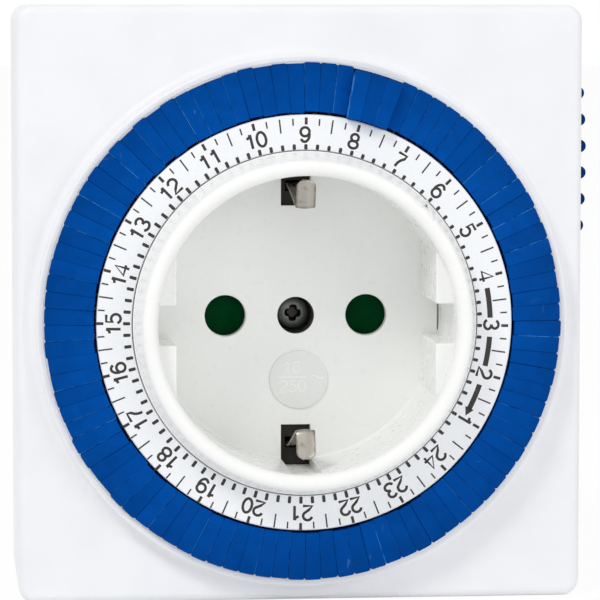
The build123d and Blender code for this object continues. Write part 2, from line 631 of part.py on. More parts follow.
with BuildPart() as clutch_spring:
    with BuildSketch(front(CLUTCH_FRONT - 0.1)):
        with Locations(drive_at):
            Circle(3.0)
            Circle(ARBOR_R + 0.2, mode=Mode.SUBTRACT)
    extrude(amount=0.55)
save(clutch_spring, "clutch_spring")

with BuildPart() as clutch_wheel:
    wheel(drive_at, CLUTCH_REAR, CLUTCH_FRONT, TRAIN_MODULE, WHEEL_TEETH, -SHIFT, TRAIN_ANGLE,
          ARBOR_R + RUNNING)
save(clutch_wheel, "clutch_wheel")

with BuildPart() as intermediate_wheel:
    wheel(middle_at, MIDDLE_FRONT, CLUTCH_FRONT - 0.1, TRAIN_MODULE, PINION_TEETH, SHIFT,
          TRAIN_ANGLE + 180 + train_space, STUD_R + RUNNING)
    wheel(middle_at, MIDDLE_REAR, MIDDLE_FRONT, TRAIN_MODULE, WHEEL_TEETH, -SHIFT, MOTOR_ANGLE,
          STUD_R + RUNNING)
save(intermediate_wheel, "intermediate_wheel")

with BuildPart() as wheel_stud:
    disc(middle_at, STUD_R, PLATE_REAR, CLUTCH_FRONT - 0.2)
    disc(middle_at, 1.2, CLUTCH_FRONT - 0.2, CLUTCH_FRONT - 0.4)
save(wheel_stud, "wheel_stud")

with BuildPart() as motor_pinion:
    wheel(motor_at, MIDDLE_REAR + 0.1, MIDDLE_FRONT - 0.2, TRAIN_MODULE, PINION_TEETH, SHIFT,
          MOTOR_ANGLE + 180 + train_space)
    disc(motor_at, 1.0, PLATE_REAR + 2.0, MIDDLE_REAR + 0.1)
save(motor_pinion, "motor_pinion")

PLATE_WALL_X = INNER_X - 0.4
PLATE_NEAR_X = 9.8
PLATE_LOW_Z = 9.0
PLATE_TOP_Z = TOP_Z - CASE_WALL - 0.6
PLATE_SCREW_R = 1.0
PLATE_SCREW_HEAD_R = 1.9
PLATE_SCREW_REACH = 4.5
with BuildPart() as train_plate:
    with BuildSketch(front(PLATE_REAR)):
        with BuildLine():
            Polyline((-PLATE_WALL_X, PLATE_LOW_Z), (-PLATE_WALL_X, TOP_Z - 10.6), (-27.0, PLATE_TOP_Z),
                     (-PLATE_NEAR_X, PLATE_TOP_Z), (-PLATE_NEAR_X, 22.0), (-24.0, PLATE_LOW_Z), close=True)
        make_face()
        Circle(BLOCK_R + 0.6, mode=Mode.SUBTRACT)
        with Locations(drive_at):
            Circle(ARBOR_R + RUNNING, mode=Mode.SUBTRACT)
        with Locations(middle_at):
            Circle(STUD_R + 0.01, mode=Mode.SUBTRACT)
        with Locations(motor_at):
            Circle(1.3, mode=Mode.SUBTRACT)
        with Locations(*case_posts):
            Circle(CORNER_POST_R + 0.3, mode=Mode.SUBTRACT)
        with Locations(*PLATE_POSTS):
            Circle(PLATE_SCREW_R + 0.15, mode=Mode.SUBTRACT)
    extrude(amount=PLATE_THICKNESS)
save(train_plate, "train_plate")

with BuildPart() as train_screws:
    for post in PLATE_POSTS:
        disc(post, PLATE_SCREW_HEAD_R, PLATE_FRONT - 0.01, PLATE_FRONT - 1.3)
        disc(post, PLATE_SCREW_R, PLATE_REAR + PLATE_SCREW_REACH, PLATE_FRONT - 0.01)
save(train_screws, "train_screws")

# ---- motor ----
CAN_WALL = 0.6
gearcase_rear = PLATE_REAR + GEARCASE_LENGTH
ROTOR_SHAFT_R = 0.6
with BuildPart() as motor_gearcase:
    disc(MOTOR_CENTRE, MOTOR_R - CAN_WALL - 0.02, gearcase_rear, PLATE_REAR + 0.02)
    disc(motor_at, 1.0 + RUNNING, PLATE_REAR + 2.1, PLATE_REAR, mode=Mode.SUBTRACT)
    disc(MOTOR_CENTRE, ROTOR_SHAFT_R + RUNNING, gearcase_rear, gearcase_rear - 1.5, mode=Mode.SUBTRACT)
save(motor_gearcase, "motor_gearcase")

with BuildPart() as motor_can:
    disc(MOTOR_CENTRE, MOTOR_R, MOTOR_REAR, PLATE_REAR + 0.02)
    disc(MOTOR_CENTRE, MOTOR_R - CAN_WALL, MOTOR_REAR - CAN_WALL, PLATE_REAR + 0.02, mode=Mode.SUBTRACT)
    disc(MOTOR_CENTRE, ROTOR_SHAFT_R + RUNNING, MOTOR_REAR, MOTOR_REAR - CAN_WALL, mode=Mode.SUBTRACT)
save(motor_can, "motor_can")

with BuildPart() as motor_coil:
    with BuildSketch(front(MOTOR_REAR - CAN_WALL - 0.2)):
        with Locations(MOTOR_CENTRE):
            Circle(MOTOR_R - CAN_WALL - 0.2)
            Circle(5.4, mode=Mode.SUBTRACT)
    extrude(amount=MOTOR_REAR - CAN_WALL - gearcase_rear - 0.4)
save(motor_coil, "motor_coil")

with BuildPart() as motor_rotor:
    disc(MOTOR_CENTRE, 5.0, MOTOR_REAR - CAN_WALL - 0.8, gearcase_rear + 0.5)
    disc(MOTOR_CENTRE, ROTOR_SHAFT_R, MOTOR_REAR + 0.3, gearcase_rear - 1.4)
save(motor_rotor, "motor_rotor")

# ---- switch lever ----
LEVER_ARM = 10.0            # pivot to nose, and to the plunger
NOSE_LIFT = 0.86            # how far a raised foot pushes the nose out
nose_off_r = leg_inner(LEVER_REAR) + LEG_RADIAL + 0.2
NOSE_R = nose_off_r + NOSE_LIFT         # nose held out, as the slider holds it at ON
LEVER_BODY_R = NOSE_R + 1.2
LEVER_WIDTH = 2.6
lever_mid_r = LEVER_BODY_R + LEVER_WIDTH / 2
outwards = (cos(radians(45)), 0, sin(radians(45)))
diagonal = Plane(origin=(0, LEVER_REAR, 0), x_dir=outwards, z_dir=(0, -1, 0))
# on this plane x runs outwards along the nose's radius, and y runs up and to the left
TAIL_LENGTH = 17.0
TAIL_R = 1.2
tail_point = (lever_mid_r + 1.0, -(TAIL_LENGTH - LEVER_ARM))
FINGER_THICKNESS = 0.9
FINGER_FRONT = FOOT_REAR + 0.15
PEG_LENGTH = FINGER_FRONT + FINGER_THICKNESS - LEVER_REAR  # peg behind the plate, pushed by the slider
LEVER_PIN_R = 0.8
LEVER_PIN_LENGTH = 5.0      # pin behind the lever
LEVER_PIN_HEAD_R = 1.25
LEVER_POST_R = 2.0
with BuildPart() as switch_lever:
    with BuildSketch(diagonal):
        with Locations((lever_mid_r, (LEVER_ARM - (TAIL_LENGTH - LEVER_ARM)) / 2)):
            Rectangle(LEVER_WIDTH, TAIL_LENGTH)
        with Locations((lever_mid_r, LEVER_ARM)):
            Circle(LEVER_WIDTH / 2 + 0.6)
        with Locations(tail_point):
            Circle(TAIL_R)
        with BuildLine():
            Polyline((LEVER_BODY_R + 0.2, 2.2), (NOSE_R, 0.5), (NOSE_R, -0.5),
                     (LEVER_BODY_R + 0.2, -2.2), close=True)
        make_face()
        with Locations((lever_mid_r, LEVER_ARM)):
            Circle(LEVER_PIN_R + RUNNING, mode=Mode.SUBTRACT)
    extrude(amount=LEVER_THICKNESS)
    with BuildSketch(diagonal):
        with Locations(tail_point):
            Circle(TAIL_R)
    extrude(amount=-PEG_LENGTH)
save(switch_lever, "switch_lever")

lever_pivot = diagonal.from_local_coords((lever_mid_r, LEVER_ARM, 0))
pivot_at = (lever_pivot.X, lever_pivot.Z)
with BuildPart() as lever_pin:
    disc(pivot_at, LEVER_PIN_R, LEVER_REAR + LEVER_PIN_LENGTH, LEVER_FRONT - 0.1)
    disc(pivot_at, LEVER_PIN_HEAD_R, LEVER_FRONT - 0.1, LEVER_FRONT - 0.5)
save(lever_pin, "lever_pin")

# ---- microswitch in the corner, set at 45 degrees ----
CASE_LENGTH = 11.6
CASE_RADIAL = 6.4
CASE_GAP = 0.9
case_in = lever_mid_r + LEVER_WIDTH / 2 + CASE_GAP
case_mid = case_in + CASE_RADIAL / 2
SWITCH_FRONT = INNER_FRONT_Y + 0.2
SWITCH_DEPTH = 8.0
SWITCH_REAR = SWITCH_FRONT + SWITCH_DEPTH
SWITCH_WALL = 0.8
switch_plane = Plane(origin=(0, SWITCH_REAR, 0), x_dir=diagonal.x_dir, z_dir=(0, -1, 0))
plunger_y = (LEVER_FRONT + LEVER_REAR) / 2
with BuildPart() as switch_case:
    with BuildSketch(switch_plane):
        with Locations((case_mid, 0)):
            Rectangle(CASE_RADIAL, CASE_LENGTH)
    extrude(amount=SWITCH_REAR - SWITCH_FRONT)
    with BuildSketch(switch_plane):
        with Locations((case_mid, 0)):
            Rectangle(CASE_RADIAL - 2 * SWITCH_WALL, CASE_LENGTH - 2 * SWITCH_WALL)
    extrude(amount=SWITCH_REAR - SWITCH_FRONT - SWITCH_WALL, mode=Mode.SUBTRACT)
    with BuildSketch(switch_plane.offset(SWITCH_REAR - plunger_y - 0.7)):
        with Locations((case_in, 0)):
            Rectangle(3 * SWITCH_WALL, 1.6)
    extrude(amount=1.4, mode=Mode.SUBTRACT)
save(switch_case, "switch_case")

BLADE_FACE = case_in + 2.9              # inner face of the blade, closed
plunger_in = lever_mid_r + LEVER_WIDTH / 2
NOSE_GAP = 0.1
with BuildPart() as switch_plunger:
    with BuildSketch(switch_plane.offset(SWITCH_REAR - plunger_y - 0.55)):
        with Locations(((plunger_in + BLADE_FACE) / 2, 0)):
            Rectangle(BLADE_FACE - plunger_in - 1.2, 1.4)
            Rectangle(BLADE_FACE - plunger_in - 2 * NOSE_GAP, 0.5)
    extrude(amount=1.1)
save(switch_plunger, "switch_plunger")

BLADE_THICKNESS = 0.3
BLADE_HALF = CASE_LENGTH / 2 - SWITCH_WALL - 0.5
with BuildPart() as contact_blade:
    with BuildSketch(switch_plane.offset(SWITCH_REAR - plunger_y - 1.4)):
        with Locations((BLADE_FACE + BLADE_THICKNESS / 2, 0)):
            Rectangle(BLADE_THICKNESS, 2 * BLADE_HALF)
    extrude(amount=2.8)
save(contact_blade, "contact_blade")

with BuildPart() as fixed_contact:
    with BuildSketch(switch_plane.offset(-3.0)):
        with Locations((BLADE_FACE + BLADE_THICKNESS + 0.33, -BLADE_HALF + 0.9)):
            Rectangle(0.6, 1.8)
    extrude(amount=SWITCH_REAR - plunger_y + 3.0 + 1.2)
save(fixed_contact, "fixed_contact")

blade_root = (BLADE_FACE + BLADE_THICKNESS / 2, BLADE_HALF + 0.26)
with BuildPart() as switch_terminal:
    with BuildSketch(switch_plane.offset(-3.0)):
        with Locations(blade_root):
            Rectangle(1.8, 0.42)
    extrude(amount=SWITCH_REAR - plunger_y + 3.0 + 1.2)
save(switch_terminal, "switch_terminal")

# ---- override slider ----
RIB_COUNT = 6
RIB_PITCH = 3.56
RIB_R = 0.86
THUMB_X = BODY_WIDTH / 2 + 0.7          # ground between the ribs
RIB_TIP_X = BODY_WIDTH / 2 + 1.6
CROWN = 0.35                # how much lower the end ribs stand
FLANGE_X = INNER_X - 0.2
FLANGE_THICKNESS = 1.3
FLANGE_TOP_Z = TOP_Z - POST_INSET_Z - CORNER_POST_R - 0.5
flange_half = (SLIDER_LENGTH + SLIDER_TRAVEL) / 2 + 2.5
tail_world = diagonal.from_local_coords((tail_point[0], tail_point[1], 0))
tail_at = (tail_world.X, tail_world.Z)
pivot_to_tail = (tail_at[0] - pivot_at[0], tail_at[1] - pivot_at[1])
swing = NOSE_LIFT / LEVER_ARM
tail_shift = (swing * pivot_to_tail[1], -swing * pivot_to_tail[0])      # tail, from ON to OFF
ramp = (tail_shift[0], tail_shift[1] + SLIDER_TRAVEL)
ramp_length = sqrt(ramp[0] ** 2 + ramp[1] ** 2)
ramp_dir = (ramp[0] / ramp_length, ramp[1] / ramp_length)
ramp_normal = (ramp_dir[1], -ramp_dir[0])
RAMP_GAP = 0.12
FINGER_WIDTH = 1.4
FOOT_DROP = 3.0             # from the ramp down to the foot that joins the finger to the flange
FOOT_WIDTH = 1.6
ramp_start = along(tail_at, ramp_normal, -TAIL_R - RAMP_GAP)

with BuildPart() as override_slider:
    slider_rear = SLIDER_Y + SLIDER_WIDTH / 2
    block((FLANGE_X, THUMB_X), (SLIDER_MID_Z - SLIDER_LENGTH / 2, SLIDER_MID_Z + SLIDER_LENGTH / 2),
          slider_rear, slider_rear - SLIDER_WIDTH)
    block((FLANGE_X - FLANGE_THICKNESS, FLANGE_X), (SLIDER_MID_Z - flange_half, FLANGE_TOP_Z),
          slider_rear + 1.0, slider_rear - SLIDER_WIDTH - 1.0)
    for k in range(RIB_COUNT):
        z = SLIDER_MID_Z + (k - (RIB_COUNT - 1) / 2) * RIB_PITCH
        tip = RIB_TIP_X - CROWN * ((z - SLIDER_MID_Z) / (SLIDER_LENGTH / 2)) ** 2
        with BuildSketch(front(slider_rear)):
            with Locations((tip - RIB_R, z)):
                Circle(RIB_R)
            with Locations(((THUMB_X - 0.2 + tip - RIB_R) / 2, z)):
                Rectangle(tip - RIB_R - THUMB_X + 0.2, 2 * RIB_R)
        extrude(amount=SLIDER_WIDTH)
    with BuildSketch(front(FINGER_FRONT + FINGER_THICKNESS)):
        near = along(ramp_start, ramp_dir, -1.0)
        far = along(ramp_start, ramp_dir, ramp_length + 0.5)
        with BuildLine():
            Polyline(near, far, along(far, ramp_normal, -FINGER_WIDTH),
                     along(near, ramp_normal, -FINGER_WIDTH), close=True)
        make_face()
        foot_low = near[1] - FOOT_DROP
        foot_top = foot_low + FOOT_WIDTH
        root = along(near, ramp_dir, 0.2)
        with BuildLine():
            Polyline(root, along(root, ramp_normal, -FINGER_WIDTH), (near[0] - FINGER_WIDTH, foot_low),
                     (FLANGE_X - 0.5, foot_low), (FLANGE_X - 0.5, foot_top), (near[0] + 0.3, foot_top),
                     close=True)
        make_face()
    extrude(amount=FINGER_THICKNESS)
save(override_slider, "override_slider")

SPRING_SEAT_X = FLANGE_X - FLANGE_THICKNESS - 1.5
SPRING_MID_Z = SLIDER_MID_Z - 3.0
SPRING_WALL = 1.2
SPRING_WALL_HALF = 4.0
SPRING_HALF = 3.0           # from the spring's bend to its ends
SPRING_THICKNESS = 0.3
SPRING_WIDTH = 2.0
SPRING_INSET = 0.25         # middle of the sheet from the seat and from the flange
SWITCH_POST_INSET = 0.8
SWITCH_POST_R = 0.9
switch_posts = [
    on_diagonal((case_in + CASE_RADIAL - SWITCH_POST_INSET, side * (CASE_LENGTH / 2 - SWITCH_POST_INSET)))
    for side in (-1, 1)
]
# gaps for the wires through the ring that carries the contact block: X range, Z range
WIRE_GAPS = [((18.0, 23.0), (-1.2, 1.2)), ((-23.0, -18.0), (-1.2, 1.2)), ((7.6, 9.8), (15.5, 22.0))]

with BuildPart() as rear_housing:
    with BuildSketch(front(REAR_Y)):
        with Locations((0, MID_Z)):
            RectangleRounded(BODY_WIDTH, BODY_HEIGHT, CASE_CORNER_R)
    extrude(amount=REAR_Y - PARTING_Y)
    fillet(rear_housing.faces().sort_by(Axis.Y)[-1].edges(), radius=CASE_EDGE_R)
    with BuildSketch(front(INNER_REAR_Y)):
        with Locations((0, MID_Z)):
            Rectangle(BODY_WIDTH - 2 * CASE_WALL, BODY_HEIGHT - 2 * CASE_WALL)
    extrude(amount=INNER_REAR_Y - PARTING_Y, mode=Mode.SUBTRACT)
    with BuildSketch(front(0)):
        Circle(PLUG_BOSS_R)
        Rectangle(2 * PLUG_FLAT_X, 2 * PLUG_BOSS_R, mode=Mode.INTERSECT)
    extrude(amount=-REAR_Y)
    fillet(rear_housing.faces().sort_by(Axis.Y)[-1].edges(), radius=0.8)
    disc((0, 0), BOSS_WALL_R, -FACE_WALL, INNER_REAR_Y, mode=Mode.SUBTRACT)
    for side in (-1, 1):
        disc((side * PIN_X, 0), PIN_ROOT_R + 0.02, 0, -FACE_WALL, mode=Mode.SUBTRACT)
        slot_z = sorted((side * (EARTH_FLAT - 0.7), side * (PLUG_BOSS_R + 1)))
        half = PLUG_EARTH_WIDTH / 2 + PART_GAP
        block((-half, half), slot_z, -1.2, REAR_Y, mode=Mode.SUBTRACT)
        slot_z = sorted((side * (EARTH_FLAT - 0.7), side * (EARTH_FLAT + 0.1)))
        block((-half, half), slot_z, -1.2, INNER_REAR_Y, mode=Mode.SUBTRACT)
    for side in (-1, 1):
        bridge = sorted((side * 3.2, side * (BOSS_WALL_R + 0.5)))
        block((-1.2, 1.2), bridge, REAR_Y - 0.6, INNER_REAR_Y - 0.01)
    disc((0, 0), CENTRE_POST_R, -FACE_WALL, EARTH_REAR + 0.02)
    disc((0, 0), SCREW_R + 0.03, INNER_REAR_Y + 2, EARTH_REAR + 0.02, mode=Mode.SUBTRACT)
    ring_solid(BLOCK_R - 3.0, BLOCK_R - 1.0, INNER_REAR_Y, BLOCK_REAR + 0.02)
    for post in case_posts:
        disc(post, CORNER_POST_R, INNER_REAR_Y, PARTING_Y)
        disc(post, POST_BORE_R + 0.05, REAR_Y, PARTING_Y, mode=Mode.SUBTRACT)
        disc(post, CASE_SCREW_HEAD_R + PART_GAP, REAR_Y, REAR_Y - HEAD_SEAT, mode=Mode.SUBTRACT)
    for post in PLATE_POSTS:
        disc(post, PLATE_POST_R, INNER_REAR_Y, PLATE_REAR + 0.02)
        disc(post, PLATE_SCREW_R + 0.03, PLATE_REAR + PLATE_SCREW_REACH + 1.5, PLATE_REAR + 0.02,
             mode=Mode.SUBTRACT)
    disc(pivot_at, LEVER_POST_R, INNER_REAR_Y, LEVER_REAR + SLIDE_GAP)
    disc(pivot_at, LEVER_PIN_R + 0.01, LEVER_REAR + LEVER_PIN_LENGTH + 0.2, LEVER_REAR + SLIDE_GAP,
         mode=Mode.SUBTRACT)
    for post in switch_posts:
        disc(post, SWITCH_POST_R, INNER_REAR_Y, SWITCH_REAR + 0.02)
    block((SPRING_SEAT_X - SPRING_WALL, SPRING_SEAT_X),
          (SPRING_MID_Z - SPRING_WALL_HALF, SPRING_MID_Z + SPRING_WALL_HALF), INNER_REAR_Y, SLIDER_Y - 1)
    for gap in WIRE_GAPS:
        block(gap[0], gap[1], INNER_REAR_Y, BLOCK_REAR, mode=Mode.SUBTRACT)
save(rear_housing, "rear_housing")

with BuildPart() as detent_spring:
    end_x = SPRING_SEAT_X + SPRING_INSET
    bend_x = FLANGE_X - FLANGE_THICKNESS - SPRING_INSET
    with BuildSketch(front(SLIDER_Y + SPRING_WIDTH / 2)):
        with BuildLine() as spring_line:
            Polyline((end_x, SPRING_MID_Z - SPRING_HALF), (bend_x, SPRING_MID_Z),
                     (end_x, SPRING_MID_Z + SPRING_HALF))
        trace(spring_line.line, line_width=SPRING_THICKNESS)
    extrude(amount=SPRING_WIDTH)
save(detent_spring, "detent_spring")

# ---- internal wires ----
WIRE_R = 0.7
WIRE_BEND = 1.0


def wire(points):
    """Insulated wire on straight runs with rounded corners."""
    with BuildLine() as route:
        FilletPolyline(*points, radius=WIRE_BEND)
    with BuildSketch(Plane(origin=route.line @ 0, z_dir=route.line % 0)) as section:
        Circle(WIRE_R)
    sweep(section.sketch, path=route.line)


live_end = on_diagonal((BLADE_FACE + BLADE_THICKNESS + 0.33, -BLADE_HALF + 0.9))
switched_end = on_diagonal(blade_root)
TERMINAL_Y = SWITCH_REAR + 3.02
LOW_Y = INNER_REAR_Y - 1.2          # wires close to the rear wall
HIGH_Y = INNER_REAR_Y - 3.0         # wires that cross over them
MOTOR_WIRE_Y = HIGH_Y + 0.4
RISER_Z = 12.0                      # where the wires of the switch start to rise
with BuildPart() as wire_live:
    wire([(PIN_X + 0.8, INNER_REAR_Y + 0.98, 0), (PIN_X + 0.8, LOW_Y, 0), (BLOCK_R + 1.7, LOW_Y, 0),
          (BLOCK_R + 4.7, LOW_Y - 2.8, RISER_Z), (live_end[0], PARTING_Y, live_end[1]),
          (live_end[0], TERMINAL_Y, live_end[1])])
save(wire_live, "wire_live")

with BuildPart() as wire_switched:
    wire([(PIN_X, LIVE_CUP_REAR + 0.02, 0), (PIN_X, HIGH_Y, 0), (BLOCK_R + 1.2, HIGH_Y, 0),
          (BLOCK_R + 1.7, HIGH_Y - 3.0, RISER_Z), (switched_end[0], HIGH_Y - 5.0, switched_end[1]),
          (switched_end[0], TERMINAL_Y, switched_end[1])])
save(wire_switched, "wire_switched")

CAN_ENTRY_Y = MOTOR_REAR + 0.02
with BuildPart() as wire_motor:
    near_x, near_z = along(MOTOR_CENTRE, (-3.5, -4.5), 1)
    far_x, far_z = along(MOTOR_CENTRE, (4.5, 4.5), 1)
    wire([(-PIN_X - CONTACT_R - CONTACT_WALL - 0.02, MOTOR_WIRE_Y, 0),
          (-BLOCK_R - 1.2, MOTOR_WIRE_Y, 0), (near_x + 2.0, MOTOR_WIRE_Y, RISER_Z),
          (near_x, MOTOR_WIRE_Y, near_z), (near_x, CAN_ENTRY_Y, near_z)])
    wire([(PIN_X - 0.8, INNER_REAR_Y + 0.98, 0), (PIN_X - 0.8, MOTOR_WIRE_Y, 0),
          (PIN_X - 0.8, MOTOR_WIRE_Y, BLOCK_R + 1.7), (far_x + 12.0, MOTOR_WIRE_Y, far_z - 1.0),
          (far_x, MOTOR_WIRE_Y, far_z), (far_x, CAN_ENTRY_Y, far_z)])
save(wire_motor, "wire_motor")
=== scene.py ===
"""Builds the visible pieces of a plug-in 24 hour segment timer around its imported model."""

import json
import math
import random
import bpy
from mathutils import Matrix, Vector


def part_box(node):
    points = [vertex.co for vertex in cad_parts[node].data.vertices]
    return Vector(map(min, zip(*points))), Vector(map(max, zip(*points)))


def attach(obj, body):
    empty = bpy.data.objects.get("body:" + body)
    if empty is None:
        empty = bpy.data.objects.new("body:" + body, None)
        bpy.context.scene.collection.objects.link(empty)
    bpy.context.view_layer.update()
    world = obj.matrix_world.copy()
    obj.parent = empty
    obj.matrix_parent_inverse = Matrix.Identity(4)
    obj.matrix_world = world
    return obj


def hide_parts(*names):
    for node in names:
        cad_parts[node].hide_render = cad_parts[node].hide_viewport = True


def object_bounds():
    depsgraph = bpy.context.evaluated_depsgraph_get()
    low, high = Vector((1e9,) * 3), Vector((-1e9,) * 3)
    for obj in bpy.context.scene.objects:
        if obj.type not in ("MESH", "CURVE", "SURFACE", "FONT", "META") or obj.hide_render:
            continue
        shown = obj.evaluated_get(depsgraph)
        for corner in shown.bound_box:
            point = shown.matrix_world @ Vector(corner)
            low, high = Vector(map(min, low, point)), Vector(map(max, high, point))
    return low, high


bl_info = {
    "name": "Plug-in Segment Timer",
    "version": (1, 0, 0),
    "blender": (4, 5, 0),
    "location": "View3D > Sidebar > Segment Timer",
    "description": "Casing, dial, segments, socket and slider of a 24 hour segment timer",
    "category": "Add Mesh",
}

import bmesh
import bpy
from bpy.props import FloatProperty, FloatVectorProperty, IntProperty, PointerProperty
from bpy.types import Operator, Panel, PropertyGroup
from mathutils import Matrix, Vector

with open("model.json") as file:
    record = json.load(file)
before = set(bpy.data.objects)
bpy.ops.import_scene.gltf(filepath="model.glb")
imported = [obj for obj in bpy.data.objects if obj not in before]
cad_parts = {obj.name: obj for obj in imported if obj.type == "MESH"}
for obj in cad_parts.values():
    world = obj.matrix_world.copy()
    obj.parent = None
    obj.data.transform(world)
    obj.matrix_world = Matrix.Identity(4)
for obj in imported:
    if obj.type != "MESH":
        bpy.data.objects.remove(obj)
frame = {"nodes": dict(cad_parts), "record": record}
cad_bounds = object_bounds()

MM = 0.001
TURN = 2 * math.pi
WELL_DEPTH = 17.5 * MM      # from the crest of the rim to the floor of the well
FLOOR_WALL = 1.6 * MM       # floor of the well
NEAR = 0.01 * MM            # what counts as lying on a plane
FINISH_PREFIX = "timer_"


def low(node):
    """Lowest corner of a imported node."""
    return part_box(node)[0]


def high(node):
    """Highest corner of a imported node."""
    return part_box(node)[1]


# ---------------------------------------------------------------- properties


def length(name, millimetres, description):
    """A length that is written in millimetres and kept in metres."""
    return FloatProperty(name=name, description=description, default=millimetres * MM,
                         unit="LENGTH", precision=5)


def angle(name, degrees, description):
    """An angle that is written in degrees and kept in radians."""
    return FloatProperty(name=name, description=description, default=math.radians(degrees),
                         subtype="ANGLE")


def colour(name, code, description):
    """A colour that is written as three screen values from 0 to 255."""
    return FloatVectorProperty(name=name, description=description, subtype="COLOR", size=3,
                               default=tuple(linear(value / 255) for value in code), min=0, max=1)


def linear(value):
    """Scene value of a screen value."""
    return value / 12.92 if value <= 0.04045 else ((value + 0.055) / 1.055) ** 2.4


class TimerCasing(PropertyGroup):
    """Sizes of the casing and the collar."""

    corner: length("Corner", 2.2, "Radius of the casing's corners, seen from the front")
    edge: length("Edge", 1.2, "Radius of the casing's front and rear edges")
    wall: length("Wall", 2.0, "Wall of the casing")
    collar_inner: length("Collar bore", 34.23, "Inner radius of the collar round the segments")
    collar_wall: length("Collar wall", 0.87, "Wall of the collar")
    collar_height: length("Collar height", 2.7, "Height of the collar above the front face")
    collar_foot: length("Collar foot", 1.15, "Fillet between the collar and the front face")


class TimerDial(PropertyGroup):
    """Sizes of the dial, its print and the segments."""

    count: IntProperty(name="Segments", description="Number of segments", default=96, min=12)
    phase: angle("Phase", -0.1, "First joint between two segments, clockwise from the top")
    gap: angle("Gap", 0.035, "Angle left open between two segments")
    inner: length("Segment inner end", 27.68, "Radius of the segments' inner ends")
    outer: length("Segment outer end", 34.1, "Radius of the segments' outer ends")
    lean: angle("Lean", 10.6, "Slope of the segments' faces and of their travel")
    travel: length("Travel", 1.6, "Way from lowered to raised")
    rounding: length("Rounding", 0.06, "Rounding of the segments' edges")
    corner: length("Corner", 0.3, "Rounding of the segments' outer corners")
    unevenness: length("Unevenness", 0.24, "How far the segments stand off their true place")
    hour_nine: angle("Nine o'clock", 0.76, "Place of the figure 9, clockwise from the top")
    print_right: length("Print right", -0.245, "How far the print stands off to the right")
    print_down: length("Print down", 0.156, "How far the print stands off downwards")
    figure_height: length("Figure height", 2.24, "Height of the dial's figures")
    figure_centre: length("Figure centre", 24.89, "Radius of the middle of the figures")
    stroke: length("Stroke", 0.36, "Stroke of the dial's figures")
    thick_tick: length("Hour tick", 0.37, "Width of an hour's tick")
    thin_tick: length("Quarter tick", 0.19, "Width of the other ticks")
    inner_tick: length("Inner tick", 0.42, "Width of the inner ticks")
    ink: length("Ink", 0.02, "How far the print stands above the dial")
    groove: length("Groove", 0.15, "Gap between the dial's face and the foot of the rim")


class TimerSocket(PropertyGroup):
    """Sizes of the socket insert."""

    well: length("Well", 19.5, "Radius of the well")
    crest: length("Crest", 20.7, "Radius of the rim's crest")
    foot: length("Foot", 22.6, "Radius of the rim's foot")
    wall: length("Wall", 1.7, "Wall of the well")
    flat: length("Guide flats", 17.0, "Distance from the axis to the guide flats")
    flat_height: length("Flat height", 14.7, "Height of the guide flats above the floor")
    notch: length("Notch", 2.6, "Half width of the notch in the guide flats")
    pin_hole: length("Pin hole", 2.75, "Radius of the pin holes")
    pin_spacing: length("Pin spacing", 19.0, "Distance between the pin holes")
    recess: length("Screw recess", 2.47, "Radius of the screw's recess")
    disc: length("Disc", 3.95, "Radius of the raised disc with the rated values")
    disc_right: length("Disc to the right", 0.4, "Place of the disc beside the axis")
    disc_down: length("Disc down", 8.67, "Place of the disc under the axis")
    aperture: length("Earth aperture", 2.0, "Half width of the earth clips' openings")


class TimerColours(PropertyGroup):
    """Colours of the plastics and the metals."""

    casing: colour("Casing", (241, 242, 245), "Moulded casing")
    dial: colour("Dial", (243, 245, 248), "Dial ring")
    socket: colour("Socket", (248, 249, 247), "Socket insert")
    segment: colour("Segments", (1, 71, 152), "Segments and slider")
    ink: colour("Print", (44, 40, 36), "Figures and ticks of the dial")
    shutter: colour("Shutter", (1, 57, 27), "Shutter behind the pin holes")
    nickel: colour("Nickel", (205, 200, 190), "Contacts, pins and earth strips")
    zinc: colour("Zinc", (120, 124, 122), "Screws")
    brass: colour("Brass", (196, 164, 96), "Train plate")
    steel: colour("Steel", (170, 172, 175), "Motor can, lever and springs")


# ------------------------------------------------------------------ finishes


MOULD_GRAIN = 5000.0        # features per metre of a mould's grain
RECESS_DARK = (0.09, 0.09, 0.078, 1.0)
DIRT = (0.022, 0.016, 0.011, 1.0)
CLIP_BROWN = (0.13, 0.095, 0.062, 1.0)
SPOT_BROWN = (0.16, 0.09, 0.04, 1.0)
PALE_BLUE = (0.34, 0.5, 0.72, 1.0)
# painted highlight of the segments' lit edges
EDGE_HIGHLIGHT_BLUE = (0.05, 0.25, 0.62, 1.0)
COPPER_DARK = (0.25, 0.06, 0.02, 1.0)
COPPER_BRIGHT = (0.62, 0.22, 0.08, 1.0)
THIN_INK = (0.3, 0.29, 0.28, 1.0)


